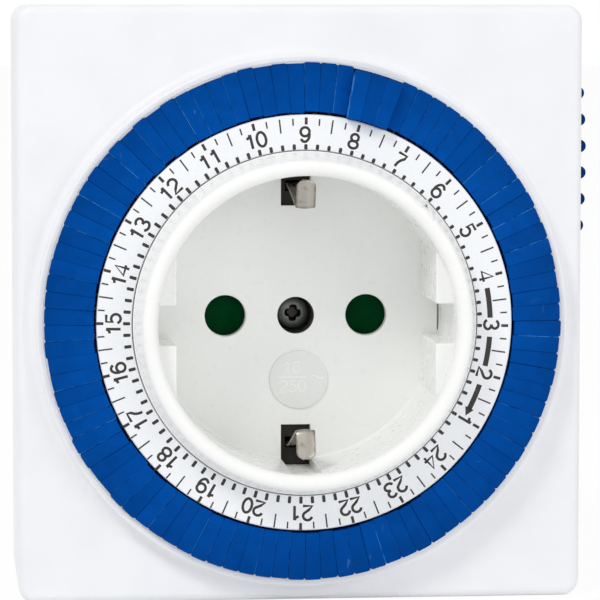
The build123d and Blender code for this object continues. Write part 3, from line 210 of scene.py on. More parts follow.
class Finish:
    """A material in the making: its shader, and the nodes that drive it."""

    def __init__(self, name, roughness, metallic=0.0):
        self.material = bpy.data.materials.new(FINISH_PREFIX + name)
        self.material.use_nodes = True
        self.tree = self.material.node_tree
        self.shader = self.tree.nodes["Principled BSDF"]
        self.put("Metallic", metallic)
        self.put("Roughness", roughness)

    def fill(self, socket, value):
        """A plain value set on a socket, or an output linked to it."""
        if isinstance(value, bpy.types.NodeSocket):
            self.tree.links.new(value, socket)
        else:
            socket.default_value = value

    def put(self, name, value):
        """Fills one of the shader's own sockets."""
        self.fill(self.shader.inputs[name], value)

    def node(self, kind, values, **settings):
        """Outputs of a new node, whose sockets are filled by name or number."""
        node = self.tree.nodes.new("ShaderNode" + kind)
        for name, value in settings.items():
            setattr(node, name, value)
        for socket, value in values.items():
            self.fill(node.inputs[socket], value)
        return node.outputs

    def own_place(self):
        return self.node("TexCoord", {})["Object"]

    def axes(self):
        """X, Y and Z of the object's own coordinates."""
        return self.node("SeparateXYZ", {0: self.own_place()})

    def noise(self, scale, detail=3.0, stretch=(1, 1, 1), distortion=0.0):
        """Noise on the object's own coordinates, in features per metre, stretched by axis."""
        mapped = self.node("Mapping", {"Vector": self.own_place(), "Scale": stretch})["Vector"]
        return self.node("TexNoise", {"Vector": mapped, "Scale": scale, "Detail": detail,
                                      "Distortion": distortion})["Fac"]

    def span(self, value, low_in, high_in, low_out=0.0, high_out=1.0):
        """A value's range mapped to another one, clamped."""
        return self.node("MapRange", {"Value": value, "From Min": low_in, "From Max": high_in,
                                      "To Min": low_out, "To Max": high_out})["Result"]

    def mix(self, factor, first, second):
        """Mix of two colours, each a tuple or an output."""
        return self.node("Mix", {0: factor, 6: first, 7: second}, data_type="RGBA")[2]

    def math(self, operation, *values):
        """One step of arithmetic on outputs or plain numbers."""
        return self.node("Math", dict(enumerate(values)), operation=operation)[0]

    def product(self, first, *others):
        for other in others:
            first = self.math("MULTIPLY", first, other)
        return first

    def scaled(self, tone, factor):
        """A linked colour made lighter or darker."""
        return self.node("VectorMath", {0: tone, "Scale": factor}, operation="SCALE")[0]

    def from_axis(self, at):
        """Distance of a point from the timer's axis."""
        square = self.product(at["X"], at["X"])
        return self.math("SQRT", self.math("MULTIPLY_ADD", at["Z"], at["Z"], square))

    def bump(self, height, depth):
        """Fine relief of the surface; the depth is in millimetres."""
        self.put("Normal", self.node("Bump", {"Strength": 1.0, "Distance": depth * MM,
                                              "Height": height})["Normal"])

    def base(self):
        """The output that colours the surface so far."""
        return self.shader.inputs["Base Color"].links[0].from_socket


def shade(tone, factor):
    """A colour made lighter or darker, with its alpha."""
    return (*(min(1.0, channel * factor) for channel in tone[:3]), 1.0)


def moulded(name, tone, roughness, depth=0.004, patch=140.0, contrast=0.035, shine=0.3):
    """Moulded plastic: soft flow patches, uneven gloss and the fine grain of the mould."""
    finish = Finish(name, roughness)
    patches = finish.span(finish.noise(patch, 2.0), 0.3, 0.7)
    finish.put("Base Color", finish.mix(patches, shade(tone, 1 - contrast), shade(tone, 1.0)))
    gloss = finish.noise(6 * patch, 4.0)
    finish.put("Roughness", finish.span(gloss, 0.3, 0.7, roughness - 0.05, roughness + 0.06))
    if depth:
        finish.bump(finish.noise(MOULD_GRAIN, 2.0), depth)
    finish.put("Specular IOR Level", shine)
    return finish


def socket_finish(tone, socket):
    """Glossy white plastic, duller on the disc; the wall of the screw's recess is painted dark."""
    finish = moulded("socket_white", tone, 0.3, depth=0.0, contrast=0.02)
    at = finish.axes()
    floor_y = low("socket_insert").y + WELL_DEPTH
    near = finish.math("LESS_THAN", finish.from_axis(at), socket.recess + 0.2 * MM)
    deep = finish.span(at["Y"], floor_y + 0.1 * MM, floor_y + 0.3 * MM)
    across = finish.math("SUBTRACT", at["X"], socket.disc_right)
    upwards = finish.math("ADD", at["Z"], socket.disc_down)
    square = finish.math("MULTIPLY_ADD", across, across, finish.product(upwards, upwards))
    on_disc = finish.math("LESS_THAN", square, socket.disc ** 2)
    face = finish.math("GREATER_THAN", at["Y"], floor_y - DISC_HEIGHT - 0.02 * MM)
    plain = finish.base()
    toned = finish.mix(finish.product(on_disc, face), plain, finish.scaled(plain, 0.91))
    # the wall of the screw's recess is painted dark grey
    finish.put("Base Color", finish.mix(finish.product(near, deep), toned, RECESS_DARK))


def segment_place(finish, dial, at):
    """How far round the ring a point lies, counted in segments."""
    share = dial.count / TURN
    return finish.math("MULTIPLY_ADD", finish.math("ARCTAN2", at["X"], at["Z"]), share,
                       -dial.phase * share)


def rubbed_edge(finish, place, chance):
    """Painted highlight: 1 along the first edge of some segments, chosen by chance, broken into
    runs.
    """
    thin = finish.math("LESS_THAN", finish.math("FRACT", place), 0.035)
    broken = finish.span(finish.noise(900.0, 2.0), 0.4, 0.56)
    return finish.product(thin, broken, finish.span(chance, 0.45, 0.8))


def segment_finish(tone, dial):
    """Blue plastic with flow lines, tones of its own for each segment, a painted reflection of the
    dial that lightens the inner ends, painted highlights along some edges, and pale scratches.
    """
    finish = Finish("segment_blue", 0.34)
    finish.put("Specular IOR Level", 0.015)
    at = finish.axes()
    flow = finish.span(finish.noise(420.0, 3.0, distortion=0.6), 0.32, 0.7)
    body = finish.mix(flow, shade(tone, 0.9), shade(tone, 1.05))
    place = segment_place(finish, dial, at)
    chance = finish.node("TexWhiteNoise", {"W": finish.math("FLOOR", place)},
                         noise_dimensions="1D")["Value"]
    body = finish.mix(chance, finish.scaled(body, 0.88), finish.scaled(body, 1.04))
    # painted reflection of the white dial: lighter towards the inner ends, darker towards the outer
    # ends
    outwards = finish.span(finish.from_axis(at), dial.inner, dial.outer)
    body = finish.mix(outwards, finish.scaled(body, 1.14), finish.scaled(body, 0.93))
    lines = finish.noise(1500.0, 6.0, stretch=(1, 1, 0.07), distortion=0.25)
    crossed = finish.noise(900.0, 6.0, stretch=(0.06, 1, 1), distortion=0.3)
    either = finish.math("MAXIMUM", finish.span(lines, 0.675, 0.72, 0.0, 0.5),
                         finish.span(crossed, 0.67, 0.72, 0.0, 0.5))
    scratch = finish.product(either, finish.span(finish.noise(95.0, 2.0), 0.56, 0.74))
    # painted highlight: a lighter blue along the first edge of some segments
    body = finish.mix(rubbed_edge(finish, place, chance), body, EDGE_HIGHLIGHT_BLUE)
    finish.put("Base Color", finish.mix(scratch, body, PALE_BLUE))
    finish.put("Roughness", finish.span(finish.noise(700.0, 4.0), 0.3, 0.75, 0.28, 0.46))
    finish.bump(finish.noise(2600.0, 3.0), 0.006)


def metal(name, tone, roughness, grain=(1, 1, 1), scale=1600.0, spots=0.0):
    """Metal with drawn or turned lines, dull patches and, where asked, brown spots of wear."""
    finish = Finish(name, roughness, 1.0)
    lines = finish.noise(scale, 4.0, stretch=grain)
    body = finish.mix(finish.span(lines, 0.3, 0.7), shade(tone, 0.82), shade(tone, 1.06))
    if spots:
        worn = finish.span(finish.noise(1100.0, 4.0), 0.6, 0.68, 0.0, spots)
        body = finish.mix(worn, body, SPOT_BROWN)
    finish.put("Base Color", body)
    gloss = finish.noise(900.0, 4.0)
    finish.put("Roughness", finish.span(gloss, 0.3, 0.7, roughness - 0.06, roughness + 0.14))
    finish.bump(lines, 0.003)
    return finish


def screw_finish(tone):
    """Turned zinc; its cross recess is dark with dirt."""
    finish = metal("screw_zinc", tone, 0.36, scale=2400.0, spots=0.25)
    at = finish.axes()
    front_y = low("centre_screw").y
    near = finish.math("LESS_THAN", finish.from_axis(at), 1.45 * MM)
    deep = finish.span(at["Y"], front_y + 0.12 * MM, front_y + 0.3 * MM)
    shallow = finish.math("LESS_THAN", at["Y"], front_y + 1.3 * MM)
    dirty = finish.product(near, deep, shallow)
    finish.put("Base Color", finish.mix(dirty, finish.base(), DIRT))
    finish.put("Metallic", finish.math("MULTIPLY_ADD", dirty, -1.0, 1.0))


def clip_finish(tone):
    """Nickelled sheet, rubbed bright in its middle and brown along its edges."""
    finish = metal("clip_nickel", tone, 0.3, grain=(1, 0.1, 0.1), scale=900.0)
    sideways = finish.math("ABSOLUTE", finish.axes()["X"])
    ragged = finish.math("MULTIPLY_ADD", finish.noise(1300.0, 3.0), 0.5 * MM, sideways)
    edge = finish.span(ragged, 1.15 * MM, 1.5 * MM, 0.0, 0.75)
    patches = finish.span(finish.noise(700.0, 3.0), 0.55, 0.72, 0.0, 0.55)
    worn = finish.math("MAXIMUM", edge, patches)
    finish.put("Base Color", finish.mix(worn, finish.base(), CLIP_BROWN))


def wound_copper():
    """Enamelled copper wire, turn beside turn."""
    finish = Finish("coil_copper", 0.35, 1.0)
    turns = finish.noise(3800.0, 1.0, stretch=(0.02, 1, 0.02))
    finish.put("Base Color", finish.mix(finish.span(turns, 0.35, 0.65), COPPER_DARK, COPPER_BRIGHT))
    finish.bump(turns, 0.05)


def printed(tone):
    """Dry printing ink, a little thin in places."""
    finish = Finish("dial_ink", 0.6)
    thin = finish.span(finish.noise(2400.0, 4.0), 0.62, 0.8, 0.0, 0.35)
    finish.put("Base Color", finish.mix(thin, shade(tone, 1.0), THIN_INK))


def make_finishes(colours, dial, socket):
    """Every finish of the timer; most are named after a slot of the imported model."""
    moulded("casing_white", colours.casing, 0.38)
    socket_finish(colours.socket, socket)
    moulded("dial_white", colours.dial, 0.3, contrast=0.02, depth=0.002)
    segment_finish(colours.segment, dial)
    moulded("shutter_green", colours.shutter, 0.3, contrast=0.25, patch=600.0, shine=0.01)
    # the slider gets the segments' blue at half its level: painted shade for its place on the
    # shaded side
    moulded("slider_shaded_blue", shade(colours.segment, 0.5), 0.34, contrast=0.1, shine=0.05)
    screw_finish(colours.zinc)
    clip_finish(shade(colours.nickel, 0.72))
    metal("contact_nickel", colours.nickel, 0.22, grain=(1, 0.08, 1), spots=0.8)
    moulded("gear_plastic", (0.78, 0.75, 0.66), 0.42, contrast=0.08)
    moulded("block_plastic", (0.03, 0.024, 0.02), 0.5, contrast=0.2)
    metal("motor_steel", colours.steel, 0.34, grain=(1, 0.1, 1))
    wound_copper()
    moulded("magnet", (0.04, 0.04, 0.045), 0.55, contrast=0.3, patch=500.0, depth=0.02)
    metal("spring_steel", colours.steel, 0.26, grain=(0.1, 1, 1))
    metal("plate_brass", colours.brass, 0.3, grain=(0.08, 1, 1))
    moulded("wire_brown", (0.1, 0.035, 0.015), 0.4, contrast=0.15, patch=400.0)
    moulded("wire_blue", (0.02, 0.07, 0.4), 0.4, contrast=0.15, patch=400.0)
    printed(colours.ink)


def finish_named(name):
    return bpy.data.materials[FINISH_PREFIX + name]


# --------------------------------------------------------------- mesh helpers


def smooth(mesh, sharp=32.0):
    """Smooth shading with edges kept sharp past an angle in degrees."""
    mesh.polygons.foreach_set("use_smooth", [True] * len(mesh.polygons))
    mesh.set_sharp_from_angle(angle=math.radians(sharp))


def link_object(name, data):
    """A new object in the scene."""
    made = bpy.data.objects.new(name, data)
    bpy.context.scene.collection.objects.link(made)
    return made


def make_object(bm, name, sharp=32.0):
    """A mesh object in the scene from a bmesh, with its normals outwards."""
    bmesh.ops.recalc_face_normals(bm, faces=bm.faces)
    mesh = bpy.data.meshes.new(name)
    bm.to_mesh(mesh)
    bm.free()
    smooth(mesh, sharp)
    return link_object(name, mesh)


def even_normals(piece):
    """Flat faces stay flat beside rounded edges."""
    modifier = piece.modifiers.new("even_normals", "WEIGHTED_NORMAL")
    modifier.keep_sharp = True
    modifier.weight = 80


def settle(piece, sharp=32.0):
    """Applies a piece's modifiers to its own mesh."""
    evaluated = piece.evaluated_get(bpy.context.evaluated_depsgraph_get())
    mesh = bpy.data.meshes.new_from_object(evaluated)
    piece.modifiers.clear()
    piece.data = mesh
    smooth(mesh, sharp)
    return piece


def cut(piece, cutter, operation="DIFFERENCE"):
    """Boolean of one piece with another, which is used up."""
    modifier = piece.modifiers.new("cut", "BOOLEAN")
    modifier.operation = operation
    modifier.solver = "EXACT"
    modifier.object = cutter
    settle(piece)
    bpy.data.objects.remove(cutter)
    return piece


def dress(piece, body, finish, replaced=()):
    """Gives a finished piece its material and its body."""
    piece.data.materials.clear()
    piece.data.materials.append(finish_named(finish))
    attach(piece, body)
    if replaced:
        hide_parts(*replaced)
    return piece


def arc(centre, radius, start, end, steps=6):
    """Points on an arc in a profile plane, angles in degrees."""
    turns = [math.radians(start + (end - start) * k / steps) for k in range(steps + 1)]
    return [(centre[0] + radius * math.cos(a), centre[1] + radius * math.sin(a)) for a in turns]


def lathe(name, profile, steps=192, centre=(0.0, 0.0)):
    """A closed profile of (radius, y) in metres, spun about an axis along Y through (x, z)."""
    bm = bmesh.new()
    points = [bm.verts.new((radius, y, 0)) for radius, y in profile]
    for first, second in zip(points, points[1:] + points[:1]):
        bm.edges.new((first, second))
    bmesh.ops.spin(bm, geom=bm.verts[:] + bm.edges[:], cent=(0, 0, 0), axis=(0, 1, 0), angle=TURN,
                   steps=steps, use_merge=True)
    bmesh.ops.remove_doubles(bm, verts=bm.verts, dist=0.002 * MM)
    bmesh.ops.dissolve_degenerate(bm, dist=0.001 * MM, edges=bm.edges)
    bmesh.ops.translate(bm, verts=bm.verts, vec=(centre[0], 0, centre[1]))
    return make_object(bm, name)


def bar_profile(radius, front_y, rear_y):
    """Section of a plain round bar on the axis."""
    return [(0, front_y), (radius, front_y), (radius, rear_y), (0, rear_y)]


def add_box(bm, low_corner, high_corner):
    """A box between two corners; returns its vertices."""
    corners = bmesh.ops.create_cube(bm, size=1.0)["verts"]
    low_corner, high_corner = Vector(low_corner), Vector(high_corner)
    size = high_corner - low_corner
    bmesh.ops.scale(bm, vec=size, verts=corners)
    bmesh.ops.translate(bm, vec=(low_corner + high_corner) / 2, verts=corners)
    return corners


def add_block(bm, place):
    """A block whose corners go where a function of their signs puts them."""
    corners = bmesh.ops.create_cube(bm, size=1.0)["verts"]
    for corner in corners:
        corner.co = place(*corner.co)
    return corners


def edges_of(vertices):
    """The edges at some vertices, each once, in the order they are met."""
    return list(dict.fromkeys(edge for vertex in vertices for edge in vertex.link_edges))


def corners_of(faces):
    """The vertices of some faces, each once, in the order they are met."""
    return list(dict.fromkeys(vertex for face in faces for vertex in face.verts))


def along_y(edge):
    """Whether an edge runs along the timer's axis."""
    run = edge.verts[1].co - edge.verts[0].co
    return abs(run.y) > 0.99 * run.length


def round_edges(bm, edges, radius, segments=3, clamp=True):
    """Rounds edges; returns what the bevel made."""
    return bmesh.ops.bevel(bm, geom=edges, offset=radius, segments=segments, affect="EDGES",
                           profile=0.5, material=-1, clamp_overlap=clamp)


def box_piece(name, low_corner, high_corner, radius=0.0):
    """A box as an object, its edges rounded where a radius is given."""
    bm = bmesh.new()
    corners = add_box(bm, low_corner, high_corner)
    if radius:
        round_edges(bm, edges_of(corners), radius)
    return make_object(bm, name)


def about_axis(clock_angle):
    """Turn that takes the top of the dial to a clock angle."""
    return Matrix.Rotation(clock_angle, 4, "Y")


# -------------------------------------------------------------------- casing

WINDOW_FRONT, WINDOW_REAR = -42.2 * MM, -35.8 * MM      # the slider's window, along the axis
WINDOW_MIDDLE = 18.9 * MM   # height of the window's middle above the axis
WINDOW_HALF = 12.2 * MM
LIP_HEIGHT = 0.55 * MM      # outer lip of a segment's head
LIP_REACH = 0.45 * MM       # lip beyond the rear part of the head
LEDGE_GAP = 0.14 * MM       # between the lips and the casing's ledge under them


def lip_rear(dial):
    """Rear of the segments' lips, along the axis."""
    return low("dial_ring").y + (dial.outer - dial.inner) * math.tan(dial.lean) + LIP_HEIGHT


def casing_block(sizes, front_y, rear_y):
    """Front half of the casing: a rounded hollow block, open at the parting plane."""
    lower, upper = low("front_housing"), high("front_housing")
    wall = sizes.wall
    bm = bmesh.new()
    corners = add_box(bm, (lower.x, front_y, lower.z), (upper.x, rear_y, upper.z))
    round_edges(bm, [edge for edge in edges_of(corners) if along_y(edge)], sizes.corner, 8)
    rim = [edge for edge in bm.edges if all(abs(v.co.y - front_y) < NEAR for v in edge.verts)]
    round_edges(bm, rim, sizes.edge, 7)
    outer = make_object(bm, "casing_front")
    hollow = box_piece("hollow", (lower.x + wall, front_y + wall, lower.z + wall),
                       (upper.x - wall, rear_y + wall, upper.z - wall))
    return cut(outer, hollow)


def collar_profile(sizes, face_y, floor_y, ledge_y):
    """Section of the collar: foot fillet, rounded crest, and a bore with a ledge."""
    inner, foot = sizes.collar_inner, sizes.collar_foot
    outer = inner + sizes.collar_wall
    crest_y = face_y - sizes.collar_height
    outer_r, inner_r = 0.28 * MM, 0.2 * MM
    root = outer + foot + 0.6 * MM
    ledge_in = inner - (LIP_REACH - 0.2 * MM)
    ledge_rear = ledge_y + 0.6 * MM
    return ([(root, face_y + 0.4 * MM), (root, face_y)]
            + arc((outer + foot, face_y - foot), foot, 90, 180, 8)
            + arc((outer - outer_r, crest_y + outer_r), outer_r, 0, -90, 4)
            + arc((inner + inner_r, crest_y + inner_r), inner_r, -90, -180, 3)
            + [(inner, ledge_y), (ledge_in, ledge_y), (ledge_in, ledge_rear), (inner, ledge_rear),
               (inner, floor_y), (inner + 1.2 * MM, floor_y)])


def make_front_casing(sizes, dial):
    """Front half of the casing with its collar, dial opening and slider window."""
    lower, upper = low("front_housing"), high("front_housing")
    face_y = lower.y + sizes.collar_height
    floor_y = face_y + sizes.wall
    casing = casing_block(sizes, face_y, upper.y)
    radius = sizes.collar_inner + 0.1 * MM
    cut(casing, lathe("opening", bar_profile(radius, face_y - 5 * MM, floor_y + 1 * MM), 256))
    profile = collar_profile(sizes, face_y, floor_y, lip_rear(dial) + LEDGE_GAP)
    cut(casing, lathe("collar", profile, 256), "UNION")
    window = box_piece("window", (upper.x - 3 * MM, WINDOW_FRONT, WINDOW_MIDDLE - WINDOW_HALF),
                       (upper.x + 3 * MM, WINDOW_REAR, WINDOW_MIDDLE + WINDOW_HALF), 0.5 * MM)
    cut(casing, window)
    even_normals(casing)
    dress(casing, "root", "casing_white", replaced=["front_housing"])


# ------------------------------------------------------------ dial and print

DIGIT_ADVANCE = 0.82        # from digit to digit, in heights of their centre lines
FIGURE_LEFT = 0.13 * MM     # figures stand a little to the left of their ticks
HOUR_TICK_SPAN = (26.2 * MM, 27.12 * MM)
HALF_TICK_SPAN = (25.2 * MM, 27.02 * MM)
QUARTER_TICK_SPAN = (26.1 * MM, 26.98 * MM)
TICK_SPANS = (HOUR_TICK_SPAN, QUARTER_TICK_SPAN, HALF_TICK_SPAN, QUARTER_TICK_SPAN)
INNER_TICK_SPAN = (22.7 * MM, 23.64 * MM)
BAR_RADII = (24.38 * MM, 25.06 * MM)
BAR_SPANS = ((79.2, 88.35), (94.2, 103.25), (109.2, 117.2))     # degrees, clockwise from the top
ARROW_HEAD_SPAN = (117.0, 119.6)
ARROW_HEAD_HALF = 0.62 * MM


def make_dial(dial, socket):
    """Dial ring: its face ends in a step that leaves a narrow groove round the socket's rim."""
    lower, upper = low("dial_ring"), high("dial_ring")
    outer, front, rear = upper.x, lower.y, upper.y
    bore = socket.well + socket.wall + 0.08 * MM
    face_in = socket.foot + dial.groove
    step_y = front + 0.7 * MM
    edge = 0.3 * MM
    lip = 0.04 * MM
    profile = ([(bore, step_y), (face_in, step_y), (face_in, front + lip), (face_in + lip, front),
                (outer - edge, front)]
               + arc((outer - edge, front + edge), edge, -60, 0, 4) + [(outer, rear), (bore, rear)])
    ring = lathe("dial", profile, 288)
    even_normals(ring)
    dress(ring, "dial", "dial_white", replaced=["dial_ring"])


def stroke_points():
    """Centre lines of the figures 0 to 9, in a box one high, its foot at 0."""
    def bow(x, y, wide, tall, start, end, steps=14):
        turns = [math.radians(start + (end - start) * k / steps) for k in range(steps + 1)]
        return [(x + wide * math.cos(a), y + tall * math.sin(a)) for a in turns]

    six = [bow(0, 0.31, 0.31, 0.31, 176, 536, 20),
           bow(0.02, 0.5, 0.33, 0.5, 38, 186)]
    return {
        "0": [bow(0, 0.5, 0.31, 0.5, 0, 360, 24)],
        "1": [[(0.1, 0), (0.1, 1)], [(-0.2, 0.75), (-0.06, 0.78), (0.03, 0.86), (0.08, 1)]],
        "2": [bow(0, 0.7, 0.31, 0.3, 168, -38) + [(-0.08, 0.28), (-0.33, 0), (0.33, 0)]],
        "3": [bow(0, 0.75, 0.28, 0.25, 160, -90), bow(0, 0.25, 0.32, 0.25, 90, -165)],
        "4": [[(0.17, 0), (0.17, 1), (-0.36, 0.28), (0.37, 0.28)]],
        "5": [[(0.28, 1), (-0.21, 1)] + bow(0, 0.33, 0.32, 0.33, 140, -160)],
        "6": six,
        "7": [[(-0.32, 1), (0.33, 1)] + bow(0.6, 0, 0.68, 0.84, 120, 180, 6)],
        "8": [bow(0, 0.75, 0.26, 0.25, 0, 360, 20), bow(0, 0.26, 0.32, 0.26, 0, 360, 20)],
        "9": [[(-x, 1 - y) for x, y in line] for line in six],
    }


def add_stroke(curve, line):
    """One stroke of the print, as a poly line of a curve."""
    spline = curve.splines.new("POLY")
    spline.points.add(len(line) - 1)
    for point, place in zip(spline.points, line):
        point.co = (*place, 1.0)


def strokes_to_piece(name, lines, width, place, ink):
    """Strokes as round cords along their lines, pressed flat on a face that looks to the front."""
    curve = bpy.data.curves.new(name, "CURVE")
    curve.dimensions = "3D"
    curve.bevel_depth = width / 2
    curve.bevel_resolution = 2
    curve.use_fill_caps = True
    for line in lines:
        add_stroke(curve, line)
    drawn = link_object(name, curve)
    depsgraph = bpy.context.evaluated_depsgraph_get()
    mesh = bpy.data.meshes.new_from_object(drawn.evaluated_get(depsgraph))
    bpy.data.objects.remove(drawn)
    bm = bmesh.new()
    bm.from_mesh(mesh)
    bpy.data.meshes.remove(mesh)
    press = Matrix.Translation(place) @ Matrix.Diagonal((1, 2 * ink / width, 1, 1))
    bmesh.ops.transform(bm, matrix=press, verts=bm.verts)
    return make_object(bm, name, 60)


def digit_lines(digits, body, centre=(0.0, 0.0)):
    """Strokes of a row of digits, in the plane across the axis, centred on (x, z)."""
    figures = stroke_points()
    lines = []
    for index, digit in enumerate(digits):
        shift = (index - (len(digits) - 1) / 2) * DIGIT_ADVANCE
        for line in figures[digit]:
            lines.append([Vector((centre[0] + (x + shift) * body, 0, centre[1] + (y - 0.5) * body))
                          for x, y in line])
    return lines


def hour_angle(dial, hour):
    """Clock angle of an hour: the hours run counterclockwise."""
    return dial.hour_nine + math.radians(15) * (9 - hour)


def figure_lines(dial, hour):
    """Strokes of one hour's figures, upright towards the rim."""
    turn = about_axis(hour_angle(dial, hour))
    body = dial.figure_height - dial.stroke
    lines = digit_lines(str(hour), body, (-FIGURE_LEFT, dial.figure_centre))
    return [[turn @ place for place in line] for line in lines]


def add_tick(bm, width, span_r, face_y, ink, turn, rounded=False):
    """One tick of the print between two radii."""
    corners = add_box(bm, (-width / 2, face_y - ink, span_r[0]),
                      (width / 2, face_y + ink, span_r[1]))
    if rounded:
        ends = [edge for edge in edges_of(corners) if along_y(edge)]
        made = round_edges(bm, ends, width * 0.3, 3, clamp=False)
        corners = corners_of(made["faces"])
    bmesh.ops.transform(bm, matrix=about_axis(turn), verts=corners)


def print_shift(dial):
    """How far the print stands off the axis."""
    return Vector((dial.print_right, 0, -dial.print_down))


def printed_piece(bm, name, dial):
    """Turns print drawn round the axis into a piece of the dial, a little off its centre."""
    bmesh.ops.translate(bm, vec=print_shift(dial), verts=bm.verts)
    dress(make_object(bm, name), "dial", "dial_ink")


def make_print(dial, socket):
    """Figures, ticks, bars and the arrow of the dial."""
    face_y, ink = low("dial_ring").y, dial.ink
    shift = print_shift(dial)
    lines = [line for hour in range(1, 25) for line in figure_lines(dial, hour)]
    place = shift + Vector((0, face_y, 0))
    figures = strokes_to_piece("dial_figures", lines, dial.stroke, place, ink)
    dress(figures, "dial", "dial_ink")
    bm = bmesh.new()
    quarter = TURN / dial.count
    for k in range(dial.count):
        turn = dial.hour_nine + k * quarter
        width = dial.thick_tick if k % 4 == 0 else dial.thin_tick
        add_tick(bm, width, TICK_SPANS[k % 4], face_y, ink, turn)
        outwards = shift.dot(about_axis(turn) @ Vector((0, 0, 1)))
        inner = max(INNER_TICK_SPAN[0], socket.foot + dial.groove + 0.02 * MM - outwards)
        add_tick(bm, dial.inner_tick, (inner, INNER_TICK_SPAN[1]), face_y, ink, turn, rounded=True)
    printed_piece(bm, "dial_ticks", dial)
    bm = bmesh.new()
    for start, end in BAR_SPANS:
        add_bar(bm, math.radians(start), math.radians(end), *BAR_RADII, face_y, ink)
    start, end = (math.radians(degrees) for degrees in ARROW_HEAD_SPAN)
    add_arrow_head(bm, start, end, sum(BAR_RADII) / 2, ARROW_HEAD_HALF, face_y, ink)
    printed_piece(bm, "dial_arrow", dial)


def add_bar(bm, start, end, inner, outer, face_y, ink):
    """Bent bar of print between two clock angles."""
    section = ((inner, -ink), (outer, -ink), (outer, ink), (inner, ink))
    face = bm.faces.new([bm.verts.new(about_axis(start) @ Vector((0, face_y + y, r)))
                         for r, y in section])
    bmesh.ops.spin(bm, geom=[face] + face.edges[:] + face.verts[:], cent=(0, 0, 0), axis=(0, 1, 0),
                   angle=end - start, steps=10, use_duplicate=False)


def add_arrow_head(bm, start, end, middle, half, face_y, ink):
    """Triangle of print that ends the arrow."""
    corners = ((start, middle + half), (end, middle), (start, middle - half))
    face = bm.faces.new([bm.verts.new(about_axis(turn) @ Vector((0, face_y - ink, radius)))
                         for turn, radius in corners])
    made = bmesh.ops.extrude_face_region(bm, geom=[face])["geom"]
    bmesh.ops.translate(bm, vec=(0, 2 * ink, 0),
                        verts=[v for v in made if isinstance(v, bmesh.types.BMVert)])


# ------------------------------------------------------------------ segments

RAISED = (3, 4, 5)          # segments that stand raised, counted from 0, clockwise from the top
UNEVEN_TURN = math.radians(0.8)     # how far a segment may stand askew
TRUER = 0.3                 # share of that for the single segments
HEAD_DEPTH = 4.0 * MM       # from the dial's face to the rear of a head
BACK_SHARE = 0.97           # width of a head's rear part, as a share of its front
LEG_HALF = 0.55 * MM        # half width of leg and foot
LEG_INNER = 26.9 * MM       # radius of the leg's inner side where it starts
LEG_START = 3.1 * MM        # depths under the dial's face
LEG_FRONT = 3.3 * MM
LEG_REAR = 11.87 * MM
LEG_THICKNESS = 1.6 * MM
FOOT_DROP = 7.8 * MM        # from the leg's start to its foot
FOOT_HEIGHT = 1.0 * MM
FOOT_REACH = 2.6 * MM


def set_askew(bm, body, dial, chance, single):
    """Moves and turns a segment's head a little off its true place, at random."""
    off = dial.unevenness
    shift = Vector((0, chance.uniform(-0.2, 0.3) * off, chance.uniform(-0.6, 0.4) * off))
    askew = TRUER * UNEVEN_TURN if single else UNEVEN_TURN
    if single:
        shift.z = max(shift.z, 0.05 * MM)
    lean_off = chance.uniform(-askew, askew)
    roll_off = chance.uniform(-askew, askew)
    yaw_off = chance.uniform(-askew, askew) / 3
    centre = Matrix.Translation((0, low("dial_ring").y + 2 * MM, (dial.inner + dial.outer) / 2))
    turned = (Matrix.Rotation(lean_off, 4, "X") @ Matrix.Rotation(roll_off, 4, "Z")
              @ Matrix.Rotation(yaw_off, 4, "Y"))
    bmesh.ops.transform(bm, matrix=centre @ turned @ centre.inverted(), verts=body)
    bmesh.ops.translate(bm, vec=shift, verts=body)


def add_segment(bm, dial, index, raised, chance, single=False):
    """One segment: a leaning head with a lip, its leg and its foot; a single one stands truer."""
    front = low("dial_ring").y
    slope = math.tan(dial.lean)
    pitch = TURN / dial.count
    half_angle = (pitch - dial.gap) / 2
    lip_y = lip_rear(dial)
    leg_rear = front + LEG_REAR

    def head_corner(x, y, z):
        radius = dial.outer if z > 0 else dial.inner
        depth = front + (radius - dial.inner) * slope if y < 0 else lip_y
        return math.copysign(radius * math.tan(half_angle), x), depth, radius

    def back_corner(x, y, z):
        radius = dial.outer - LIP_REACH if z > 0 else dial.inner + 0.1 * MM
        depth = lip_y - 0.3 * MM if y < 0 else front + HEAD_DEPTH
        return math.copysign(radius * math.tan(half_angle * BACK_SHARE), x), depth, radius

    def leg_corner(x, y, z):
        depth = front + LEG_FRONT if y < 0 else leg_rear
        inner = LEG_INNER + (depth - front - LEG_START) * slope
        return math.copysign(LEG_HALF, x), depth, inner + LEG_THICKNESS if z > 0 else inner

    known = len(bm.verts)
    head = add_block(bm, head_corner)
    outer_edges = [edge for edge in edges_of(head)
                   if all(v.co.z > dial.outer - NEAR for v in edge.verts) and along_y(edge)]
    cornered = round_edges(bm, outer_edges, dial.corner, 2, clamp=False)
    kept = [vertex for vertex in head if vertex.is_valid]
    head = list(dict.fromkeys(kept + corners_of(cornered["faces"])))
    sharp = [edge for edge in edges_of(head) if edge.calc_face_angle(0) > math.radians(40)]
    round_edges(bm, sharp, dial.rounding, 2, clamp=False)
    add_block(bm, back_corner)
    bm.verts.ensure_lookup_table()
    body = bm.verts[known:]
    set_askew(bm, body, dial, chance, single)
    leg = add_block(bm, leg_corner)
    foot_in = LEG_INNER + FOOT_DROP * slope + 0.3 * MM
    foot = add_box(bm, (-LEG_HALF, leg_rear - FOOT_HEIGHT, foot_in),
                   (LEG_HALF, leg_rear, foot_in + FOOT_REACH))
    whole = body + leg + foot
    if raised:
        lift = Vector((0, -dial.travel * math.cos(dial.lean), -dial.travel * math.sin(dial.lean)))
        bmesh.ops.translate(bm, vec=lift, verts=whole)
    turn = about_axis(dial.phase + (index + 0.5) * pitch)
    bmesh.ops.transform(bm, matrix=turn, verts=whole)


def segments_piece(bm, name, body, node):
    """Finishes a piece of the ring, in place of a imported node."""
    piece = make_object(bm, name, 50)
    even_normals(piece)
    dress(piece, body, "segment_blue", replaced=[node])


